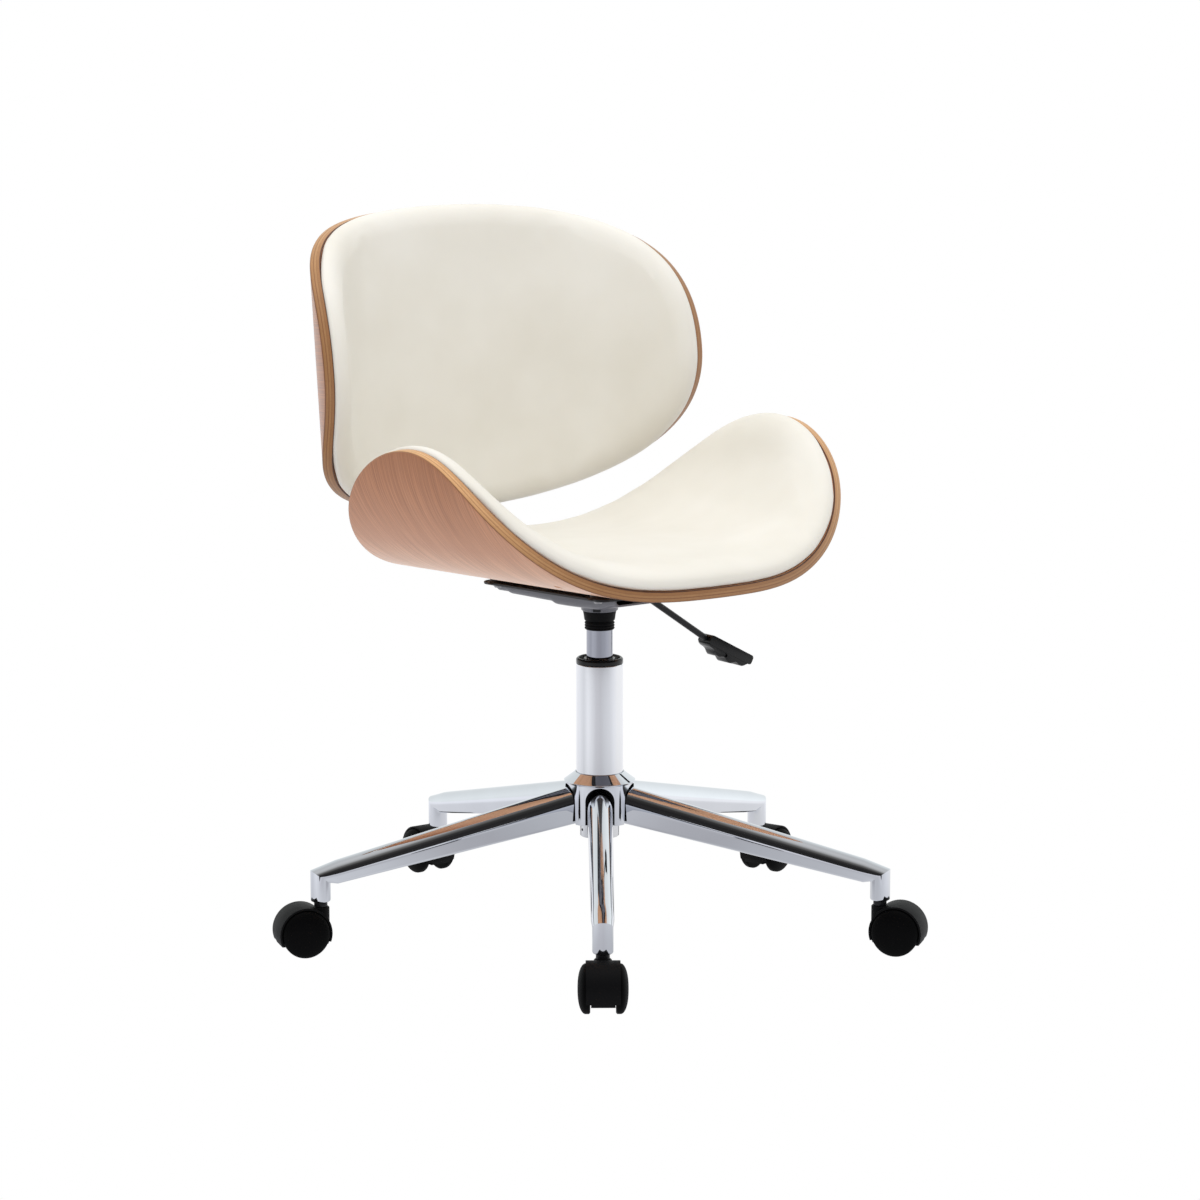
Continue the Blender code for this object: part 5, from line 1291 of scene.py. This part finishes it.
def build_tube(upright, inner):
    """Satin tube, narrower in the hub, with a floor and four holes round its foot."""
    foot_inner = TUBE_FOOT_RADIUS - TUBE_WALL
    floor = TUBE_FOOT + TUBE_FLOOR
    profile = eased([(FOOT_HOLE, TUBE_FOOT), (TUBE_FOOT_RADIUS, TUBE_FOOT), (TUBE_FOOT_RADIUS, HUB_BOTTOM),
                     (TUBE_RADIUS, HUB_TOP), (TUBE_RADIUS, TUBE_TOP), (inner, TUBE_TOP), (inner, HUB_TOP),
                     (foot_inner, HUB_BOTTOM), (foot_inner, floor), (FOOT_HOLE, floor)], 0.0012, 4)
    tube = turned("column_sleeve", profile, SATIN, upright)
    drills = []
    for i in range(4):
        turn = Matrix.Rotation(math.radians(VIEW_TURN + 45 + 90 * i), 4, "Z")
        place = upright @ turn @ Matrix.Translation((0, TUBE_FOOT_RADIUS, TUBE_FOOT + DRILL_HEIGHT))
        profile = [(0, -0.004), (DRILL_RADIUS, -0.004), (DRILL_RADIUS, 0.004), (0, 0.004)]
        place = place @ Matrix.Rotation(math.pi / 2, 4, "X")
        drill = turned(f"foot_drill_{i}", profile, SATIN, place, 24)
        cut(tube, drill)
        drills.append(drill)
    settled(tube, drills, 40.0)
    hand_over(tube, "base", ["column_tube"])


def build_bush(upright, inner):
    """Black bush in the tube's mouth, with webs in the groove of its rim."""
    bore = CYLINDER_RADIUS + GAP
    sleeve = inner - GAP
    rim = TUBE_RADIUS
    foot = TUBE_TOP - BUSH_DEPTH
    profile = eased([(bore, foot), (sleeve, foot), (sleeve, TUBE_TOP + GAP), (rim, TUBE_TOP + GAP),
                     (rim, BUSH_TOP - 0.0016), (rim - 0.0016, BUSH_TOP), (rim - 0.0030, BUSH_TOP),
                     (rim - 0.0036, BUSH_TOP - 0.0024), (bore + 0.0030, BUSH_TOP - 0.0024),
                     (bore + 0.0022, BUSH_TOP - 0.0006), (bore, BUSH_TOP - 0.0012)], 0.0005)
    bush = turned("bush_ring", profile, BUSH_PLASTIC, upright)
    hand_over(bush, "base", ["guide_bush"])
    outline = rounded_rectangle(-0.0006, 0.0006, -0.0026, -0.0009, 0.0003, 3)
    web = prism("bush_web", outline, 0.0046, BUSH_PLASTIC)
    mesh = web.data
    bpy.data.objects.remove(web, do_unlink=True)
    webs = SPOKES.grow("bush_webs", mesh, count=24, radius=(rim - 0.0036 + bore + 0.0030) / 2,
                       height=BUSH_TOP, finish=BUSH_PLASTIC)
    placed(webs, upright)
    hand_over(webs, "base", ())


def build_lift(upright):
    """The lift's cylinder, with its chamber and the button's pocket, and the ribbed collar."""
    chamber = CYLINDER_RADIUS - CYLINDER_WALL
    ceiling = CYLINDER_TOP - CYLINDER_CEILING
    floor = CYLINDER_BOTTOM + CYLINDER_FLOOR
    pocket = CYLINDER_TOP - BUTTON_POCKET
    profile = eased([(0, ceiling), (chamber, ceiling), (chamber, floor), (FOOT_HOLE, floor),
                     (FOOT_HOLE, CYLINDER_BOTTOM), (CYLINDER_RADIUS, CYLINDER_BOTTOM),
                     (CYLINDER_RADIUS, COLLAR_TOP), (CYLINDER_NOSE, CYLINDER_TOP),
                     (BUTTON_BORE, CYLINDER_TOP), (BUTTON_BORE, pocket), (0, pocket)], 0.0004)
    cylinder = turned("lift_cylinder", profile, LIFT_STEEL, upright)
    hand_over(cylinder, "seat", ["gas_cylinder"])

    low = COLLAR_BOTTOM
    bore = CYLINDER_RADIUS + GAP
    profile = eased([(bore, low), (COLLAR_RADIUS - 0.0006, low), (COLLAR_RADIUS - 0.0006, low + 0.0086),
                     (COLLAR_RADIUS - 0.0012, low + 0.0090), (COLLAR_RADIUS - 0.0012, low + 0.0098),
                     (COLLAR_RADIUS + 0.0004, low + 0.0102), (COLLAR_RADIUS + 0.0012, low + 0.0160),
                     (COLLAR_CONE, COLLAR_TOP), (bore, COLLAR_TOP)], 0.0005)
    collar = turned("collar_cone", profile, HOOD_PLASTIC, upright)
    hand_over(collar, "seat", ["socket_collar"])
    ribs = RIBS.grow("collar_ribs", bpy.data.meshes.new("rib_start"), rib_radius=COLLAR_RADIUS - 0.0007,
                     rib_thickness=0.0017, pitch=0.0028, count=3, finish=HOOD_PLASTIC)
    placed(ribs, Matrix.Translation(COLUMN + Vector((0, 0, low + 0.0014))))
    hand_over(ribs, "seat", ())


def build_column():
    """Tube, bush, cylinder and collar."""
    upright = Matrix.Translation(COLUMN)
    inner = TUBE_RADIUS - TUBE_WALL
    build_tube(upright, inner)
    build_bush(upright, inner)
    build_lift(upright)


# Five-arm base

def arm_at(share):
    """Return width, height and middle of an arm from its root, 0, to its tip, 1."""
    width = ARM_TIP_WIDTH + (ARM_ROOT_WIDTH - ARM_TIP_WIDTH) * (1 - share)
    height = ARM_ROOT_HEIGHT + (ARM_TIP_HEIGHT - ARM_ROOT_HEIGHT) * share
    middle = ARM_TIP_MIDDLE + ARM_RISE * (1 - share)
    return width, height, middle


def arm_section(radial, share):
    """Return an arm's section: a tall round crest, straight sides and small lower corners."""
    width, height, middle = arm_at(share)
    half = width / 2
    crest = (ARM_ROOT_CREST + (ARM_TIP_CREST - ARM_ROOT_CREST) * share) * height
    turn = np.linspace(0, math.pi / 2, 40)
    corner = ARM_LOWER_CORNER
    foot = (1 - ARM_DRAFT) * half - corner
    across = np.concatenate([half * np.sin(turn), foot + corner * np.cos(turn), [0.0]])
    up = np.concatenate([height / 2 - crest + crest * np.cos(turn),
                         corner - height / 2 - corner * np.sin(turn), [-height / 2]])
    way = np.concatenate([[0], np.cumsum(np.hypot(np.diff(across), np.diff(up)))])
    even = np.linspace(0, way[-1], ARM_SIDES // 2 + 1)
    side = list(zip(np.interp(even, way, across), np.interp(even, way, up)))
    ring = side + [(-x, z) for x, z in side[-2:0:-1]]
    return [Vector((x, radial, middle + z)) for x, z in ring]


def pocket_section(radial):
    """Return the section of the hub's pocket round an arm's root: straight sides under a half-round arch."""
    spring = HUB_TOP - HUB_ARCH_BELOW - HUB_ARCH_RADIUS
    side = [(HUB_ARCH_RADIUS * math.sin(turn), spring + HUB_ARCH_RADIUS * math.cos(turn))
            for turn in np.linspace(0, math.pi / 2, ARM_SIDES // 4)]
    side.append((HUB_ARCH_RADIUS, HUB_BOTTOM - 0.004))
    ring = side + [(-x, z) for x, z in side[:0:-1]]
    return [Vector((x, radial, z)) for x, z in ring]


def stub_ring(radius, height, tilt=0.0):
    """Return a ring round the caster's stem, level or tilted along the arm."""
    ring = []
    for i in range(ARM_SIDES):
        angle = math.tau * i / ARM_SIDES
        out = radius * math.cos(angle)
        ring.append(Vector((radius * math.sin(angle), BASE_RADIUS + out, height + tilt * out)))
    return ring


def build_base():
    """Hub with an arched pocket round each arm's root, its inside painted near black as painted shade, and
    the star of arms.
    """
    upright = Matrix.Translation(COLUMN)
    bore = TUBE_RADIUS + GAP
    profile = [(TUBE_FOOT_RADIUS + 0.0010, HUB_BOTTOM), (HUB_WALL - 0.0008, HUB_BOTTOM),
               (HUB_WALL, HUB_TOP - 0.0006), (HUB_WALL + 0.0004, HUB_TOP), (CAP_RADIUS - 0.0008, HUB_TOP),
               (CAP_RADIUS, HUB_TOP + 0.0008), (CAP_RADIUS, HUB_TOP + 0.0014),
               (CAP_TOP_RADIUS + 0.0004, CAP_TOP - 0.0004), (CAP_TOP_RADIUS, CAP_TOP), (bore, CAP_TOP),
               (bore, HUB_TOP)]
    hub = turned("hub_shell", eased(profile, 0.0010), CHROME, upright, 160)
    root = HUB_RADIUS - HUB_POCKET
    tools = []
    for i in range(ARM_COUNT):
        rings = [pocket_section(root - 0.0015), pocket_section(2 * HUB_WALL)]
        # The pocket's cut faces take its near black finish: painted shade in the gap round each arm
        tool = loft(f"arm_pocket_{i + 1}", rings, POCKET_PAINTED_SHADE)
        placed(tool, upright @ Matrix.Rotation(math.tau * i / ARM_COUNT, 4, "Z"))
        cut(hub, tool)
        tools.append(tool)
    settled(hub, tools, 34.0)
    hand_over(hub, "base", ["base_hub"])

    root += GAP
    tip = BASE_RADIUS - ARM_TIP_BEFORE * STUB_RADIUS
    shares = [i / ARM_STATIONS for i in range(ARM_STATIONS + 1)]
    rings = [arm_section(root + (tip - root) * share, share) for share in shares]
    last = rings[-1]
    tilt = (STUB_FRONT - STUB_BACK) / (2 * STUB_RADIUS)
    mitre = stub_ring(STUB_RADIUS, STUB_BOTTOM + (STUB_FRONT + STUB_BACK) / 2, tilt)
    rings += [[a.lerp(b, share) for a, b in zip(last, mitre)] for share in (0.35, 0.7)]
    rings += [mitre, stub_ring(STUB_RADIUS, STUB_BOTTOM + STUB_EASE)]
    for k in range(1, 5):
        angle = math.pi / 2 * k / 4
        rings.append(stub_ring(STUB_RADIUS - STUB_EASE * (1 - math.cos(angle)),
                               STUB_BOTTOM + STUB_EASE * (1 - math.sin(angle))))
    rings += [stub_ring(STEM_BORE, STUB_BOTTOM), stub_ring(STEM_BORE, STUB_BOTTOM + SOCKET_DEPTH)]
    arm = loft("one_arm", rings, CHROME, sharp=24.0)
    mesh = arm.data
    bpy.data.objects.remove(arm, do_unlink=True)
    star = STAR.grow("arm_star", mesh, 24.0, count=ARM_COUNT, finish=CHROME)
    placed(star, upright)
    hand_over(star, "base", [f"base_arm_{i + 1}" for i in range(ARM_COUNT)])


# Casters

def arc(radius, first, last, steps):
    """Return points of an arc in the plane of a wheel, by degrees from level."""
    turn = [math.radians(first + (last - first) * i / steps) for i in range(steps + 1)]
    return [(radius * math.cos(a), radius * math.sin(a)) for a in turn]


def caster_hood():
    """Hood: a body between the wheels, a fender over them and a neck for the stem."""
    steps = 48
    fender_line = arc(FENDER_OUTER, -HOOD_SWEEP, 180 + HOOD_SWEEP, steps)
    fender_line += arc(FENDER_INNER, 180 + HOOD_SWEEP, -HOOD_SWEEP, steps)
    skirt = math.degrees(math.asin((HOOD_CLEARANCE - WHEEL_RADIUS) / FENDER_OUTER))
    hood = prism("caster_hood", arc(FENDER_OUTER - 0.0003, skirt, 180 - skirt, steps), 2 * HOOD_HALF_BODY,
                 HOOD_PLASTIC, "X")
    fender = prism("caster_fender", fender_line, 2 * HOOD_HALF_FENDER, HOOD_PLASTIC, "X")
    profile = [(0, 0), (BOSS_RADIUS, 0), (BOSS_RADIUS, BOSS_RISE - 0.0010), (BOSS_RADIUS - 0.0010, BOSS_RISE),
               (0, BOSS_RISE)]
    neck = turned("caster_neck", profile, HOOD_PLASTIC, Matrix.Translation((0, -CASTER_TRAIL, 0)), 64)
    cut(hood, fender, "UNION")
    cut(hood, neck, "UNION")
    bevelled(hood, 0.0006, 40.0)
    return settled(hood, [fender, neck], 34.0)


def caster_wheel():
    """Wheel: flat tread by the hood and a domed face with a rounded shoulder."""
    bore_end = WHEEL_INNER + WHEEL_BORE_DEPTH
    shoulder = WHEEL_INNER + WHEEL_TREAD
    swell = WHEEL_DOME - WHEEL_TREAD
    profile = [(0, bore_end), (WHEEL_BORE, bore_end), (WHEEL_BORE, WHEEL_INNER),
               (WHEEL_RADIUS - WHEEL_EASE, WHEEL_INNER), (WHEEL_RADIUS, WHEEL_INNER + WHEEL_EASE),
               (WHEEL_RADIUS, shoulder)]
    for i in range(1, WHEEL_STEPS + 1):
        share = math.cos(math.pi / 2 * i / WHEEL_STEPS)
        profile.append((WHEEL_RADIUS * share, shoulder + swell * math.sqrt(1 - share ** WHEEL_POWER)))
    profile[-1] = (0, shoulder + swell)
    return turned("caster_wheel", profile, WHEEL_PLASTIC, Matrix.Rotation(math.pi / 2, 4, "Y"), 96)


def build_casters():
    """Five casters, each turned so that it trails away from the column."""
    low = WHEEL_RADIUS + BOSS_RISE + GAP
    top = STUB_BOTTOM + STEM_TOP
    profile = eased([(0, STEM_FOOT), (STEM_RADIUS, STEM_FOOT), (STEM_RADIUS, low), (STEM_COLLAR, low),
                     (STEM_COLLAR, low + 0.005), (STEM_RADIUS, low + 0.005), (STEM_RADIUS, top),
                     (0, top)], 0.0006)
    stem = turned("caster_stem", profile, BLACK_STEEL, sides=48)
    profile = eased([(0, -AXLE_HALF), (AXLE_RADIUS, -AXLE_HALF), (AXLE_RADIUS, AXLE_HALF),
                     (0, AXLE_HALF)], 0.0005)
    axle = turned("caster_axle", profile, ZINC, Matrix.Rotation(math.pi / 2, 4, "Y"), 32)
    hood = caster_hood()
    wheel = caster_wheel()
    on_axle = Matrix.Translation((0, CASTER_TRAIL, WHEEL_RADIUS))
    half_turn = Matrix.Rotation(math.pi, 4, "Z")
    kinds = (("stem_pin", "caster_stem", stem, Matrix.Identity(4), "caster", "black_steel"),
             ("hood_shell", "caster_hood", hood, on_axle, "caster", "black_plastic"),
             ("axle_pin", "caster_axle", axle, on_axle, "caster", "zinc_steel"),
             ("disc_right", "wheel_right", wheel, on_axle, "wheel_right", "black_plastic"),
             ("disc_left", "wheel_left", wheel, on_axle @ half_turn, "wheel_left", "black_plastic"))
    for i in range(ARM_COUNT):
        turn = Matrix.Rotation(math.tau * i / ARM_COUNT, 4, "Z")
        swivel = Matrix.Translation(COLUMN) @ turn @ Matrix.Translation((0, BASE_RADIUS, 0))
        for name, stands_for, source, place, body, slot in kinds:
            copy = bpy.data.objects.new(f"{name}_{i + 1}", source.data.copy())
            bpy.context.scene.collection.objects.link(copy)
            placed(copy, swivel @ place)
            hand_over(copy, f"{body}_{i + 1}", [f"{stands_for}_{i + 1}"])
    for source in (stem, axle, hood, wheel):
        bpy.data.objects.remove(source, do_unlink=True)


# Lift lever

def build_rod(pivot, start, bend, end):
    """Bent round rod with an eased inner end."""
    path = [start] + fillet(start, bend, end, 4 * LEVER_RADIUS, 12) + [end]
    across = Vector((0, 1, 0))
    turns = [math.tau * k / LEVER_SIDES for k in range(LEVER_SIDES)]
    rings = []
    for i, (before, point, after) in enumerate(along_path(path)):
        along = (after - before).normalized()
        up = along.cross(across)
        for inward, back in (((LEVER_EASE, 0), (0, LEVER_EASE)) if i == 0 else ((0, 0),)):
            radius = LEVER_RADIUS - inward
            rings.append([pivot + point + along * back + across * radius * math.cos(turn)
                          + up * radius * math.sin(turn) for turn in turns])
    rod = loft("lever_bar", rings, BLACK_STEEL, sharp=40.0)
    hand_over(rod, "lever", ["lever_rod"])


def build_paddle(place):
    """Moulded paddle: a slab with a finger-grip belly below it and a scoop in one side."""
    length = PADDLE_LENGTH
    slab = rounded_rectangle(0, length, -PADDLE_HALF_HEIGHT, PADDLE_HALF_HEIGHT, 0.0030)
    paddle = prism("paddle_grip", slab, 2 * PADDLE_HALF_WIDTH, LEVER_PLASTIC)
    belly = []
    for i in range(PADDLE_STEPS + 1):
        share = i / PADDLE_STEPS
        depth = PADDLE_BELLY * math.sin(math.pi * min(share * 0.9 + 0.04, 1.0)) ** 0.9
        wave = PADDLE_WAVE * math.cos(math.tau * PADDLE_WAVES * share) * min(share * 4, 1)
        belly.append((length * (0.01 + 0.94 * share), -0.0046 - depth - wave))
    belly += [(length * 0.95, -0.001), (length * 0.01, -0.001)]
    grip = prism("paddle_belly", belly, 1.72 * PADDLE_HALF_WIDTH, LEVER_PLASTIC)
    cut(paddle, grip, "UNION")
    outline = rounded_rectangle(0.012, 0.031, -0.0100, -0.0060, 0.0019, 8)
    scoop = prism("paddle_scoop", outline, 0.004, LEVER_PLASTIC)
    placed(scoop, Matrix.Translation((0, -0.86 * PADDLE_HALF_WIDTH, 0)))
    cut(paddle, scoop)
    bevelled(paddle, 0.0009, 40.0)
    settled(paddle, [grip, scoop], 34.0)
    placed(paddle, place)
    hand_over(paddle, "lever", ["lever_paddle"])


def build_lever():
    """Bent rod and the moulded paddle at its end."""
    pivot = COLUMN + Vector((LEVER_PIVOT_X, 0, LEVER_HEIGHT))
    drop = math.tan(math.radians(LEVER_SLOPE))
    bend = Vector((LEVER_BEND_X - LEVER_PIVOT_X, 0, 0))
    run = LEVER_REACH - LEVER_BEND_X
    build_rod(pivot, Vector((-LEVER_PIVOT_X - LEVER_INNER, 0, 0)), bend, bend + Vector((run, 0, -run * drop)))
    # The paddle's side view runs along its own slope, from where the rod enters
    run = PADDLE_START - LEVER_BEND_X
    entry = bend + Vector((run, 0, -run * drop))
    build_paddle(Matrix.Translation(pivot + entry) @ Matrix.Rotation(math.radians(PADDLE_SLOPE), 4, "Y"))


def dress_small_parts():
    """Give the plain solids that stay their finish."""
    for names, material in ((("thrust_bearing", "retaining_clip", "release_button", "lever_pivot"), ZINC),
                            (("piston_rod",), LIFT_STEEL), (("lever_yoke",), BLACK_STEEL)):
        for name in names:
            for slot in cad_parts[name].material_slots:
                slot.material = material


# Studio

def chosen(tree, ray, otherwise, wanted):
    """Return the second shader for one kind of ray and the first one for the rest."""
    rays = node(tree, "ShaderNodeLightPath").outputs
    return node(tree, "ShaderNodeMixShader", {0: rays[ray], 1: otherwise, 2: wanted}).outputs[0]


def studio_world():
    """World: white to the camera, a soft dome that lights, and a room that the chrome reflects.

    The room has a pale backdrop behind the chair, pale sides and a dark front above the floor.
    """
    world = bpy.data.worlds.new("studio_world")
    bpy.context.scene.world = world
    world.use_nodes = True
    tree = world.node_tree
    tree.nodes.clear()
    direction = node(tree, "ShaderNodeTexCoord").outputs["Generated"]
    height = spread(tree, node(tree, "ShaderNodeSeparateXYZ", {0: direction}).outputs["Z"])
    behind = ramp(tree, spread(tree, share_along(tree, direction, VIEW_AWAY)), BEHIND_STOPS)
    behind = node(tree, "ShaderNodeSeparateColor", {0: behind}).outputs[0]
    room = mix(tree, behind, ramp(tree, height, FRONT_STOPS), ramp(tree, height, BACKDROP_STOPS))
    room = tinted(tree, 1.0, room, spread(tree, share_along(tree, direction, VIEW_RIGHT)), SIDE_STOPS)
    dome = ramp(tree, height, DOME_STOPS)
    lit, mirrored, white = (
        node(tree, "ShaderNodeBackground", {"Color": color, "Strength": strength}).outputs[0]
        for color, strength in ((dome, DOME_STRENGTH), (room, ROOM_STRENGTH), (WHITE, 1.0)))
    both = chosen(tree, "Is Glossy Ray", lit, mirrored)
    node(tree, "ShaderNodeOutputWorld", {"Surface": chosen(tree, "Is Camera Ray", both, white)})


def studio_floor():
    """Plain floor: white to the camera; to metal that mirrors it, a glow of painted light, paler or darker by
    turn, with painted shadow darker near the column; else pale grey.
    """
    material, tree, shader = new_material("studio_floor")
    fill(tree, shader, {"Base Color": FLOOR_COLOR, "Roughness": 0.9, "Specular IOR Level": 0.0})
    spot = node(tree, "ShaderNodeVectorMath", {0: object_coordinates(tree), 1: tuple(COLUMN)},
                operation="SUBTRACT").outputs[0]
    nearer = share_along(tree, spot, tuple(-value for value in VIEW_AWAY))
    angle = sum_of(tree, "ARCTAN2", share_along(tree, spot, VIEW_RIGHT), nearer)
    reach = node(tree, "ShaderNodeVectorMath", {0: spot}, operation="LENGTH").outputs["Value"]
    # Painted light and painted shadow: the floor glows for polished metal by turn, and darker near the column
    # where the chair shades it
    painted_glow = ramp(tree, spread(tree, angle, -math.pi, math.pi), FLOOR_PAINTED_LIGHT_TURN_STOPS)
    painted_glow = tinted(tree, 1.0, painted_glow, spread(tree, reach, 0.0, FLOOR_REACH), FLOOR_PAINTED_SHADOW_STOPS)
    mirrored, white = (node(tree, "ShaderNodeEmission", {"Color": color, "Strength": strength}).outputs[0]
                       for color, strength in ((painted_glow, FLOOR_STRENGTH), (WHITE, 1.0)))
    both = chosen(tree, "Is Glossy Ray", shader.outputs[0], mirrored)
    both = chosen(tree, "Is Camera Ray", both, white)
    tree.links.new(both, tree.nodes["Material Output"].inputs["Surface"])
    mesh = bpy.data.meshes.new("studio_floor")
    corners = [(x * FLOOR_EDGE, y * FLOOR_EDGE, 0) for x, y in ((-1, -1), (1, -1), (1, 1), (-1, 1))]
    mesh.from_pydata(corners, [], [(0, 1, 2, 3)])
    mesh.materials.append(material)
    floor = bpy.data.objects.new("studio_floor", mesh)
    bpy.context.scene.collection.objects.link(floor)
    floor.location.z = -FLOOR_DROP


def aimed(item, place, way):
    """Put a lamp or camera in the scene at a place, so that it looks along a way."""
    bpy.context.scene.collection.objects.link(item)
    item.matrix_world = Matrix.Translation(place) @ way.to_track_quat("-Z", "Y").to_matrix().to_4x4()


def build_studio():
    """Floor, the light above and the camera at the photograph's angle."""
    bpy.context.scene.view_settings.view_transform = "Standard"
    studio_world()
    studio_floor()
    light = bpy.data.lights.new("top", "AREA")
    light.shape = "RECTANGLE"
    light.size = TOP_LIGHT_SIZE
    light.size_y = TOP_LIGHT_SIZE
    light.energy = TOP_LIGHT
    light.color = TOP_LIGHT_COLOR
    lamp = bpy.data.objects.new("top", light)
    aimed(lamp, TOP_LIGHT_PLACE, TOP_LIGHT_AIM - TOP_LIGHT_PLACE)
    lamp.visible_glossy = False

    data = bpy.data.cameras.new("photo_view")
    data.lens = LENS
    data.sensor_width = SENSOR
    camera = bpy.data.objects.new("photo_view", data)
    away = Vector(VIEW_AWAY)
    pitch = math.radians(VIEW_PITCH)
    place = COLUMN - away * VIEW_DISTANCE + Vector(VIEW_RIGHT) * VIEW_SIDE + Vector((0, 0, VIEW_HEIGHT))
    aimed(camera, place, away * math.cos(pitch) - Vector((0, 0, math.sin(pitch))))
    bpy.context.scene.camera = camera


def build_chair():
    """Dress the whole chair."""
    build_panels()
    build_bracket()
    build_plate(*build_bolts())
    build_tray()
    build_column()
    build_base()
    build_casters()
    build_lever()
    dress_small_parts()


build_studio()
build_chair()
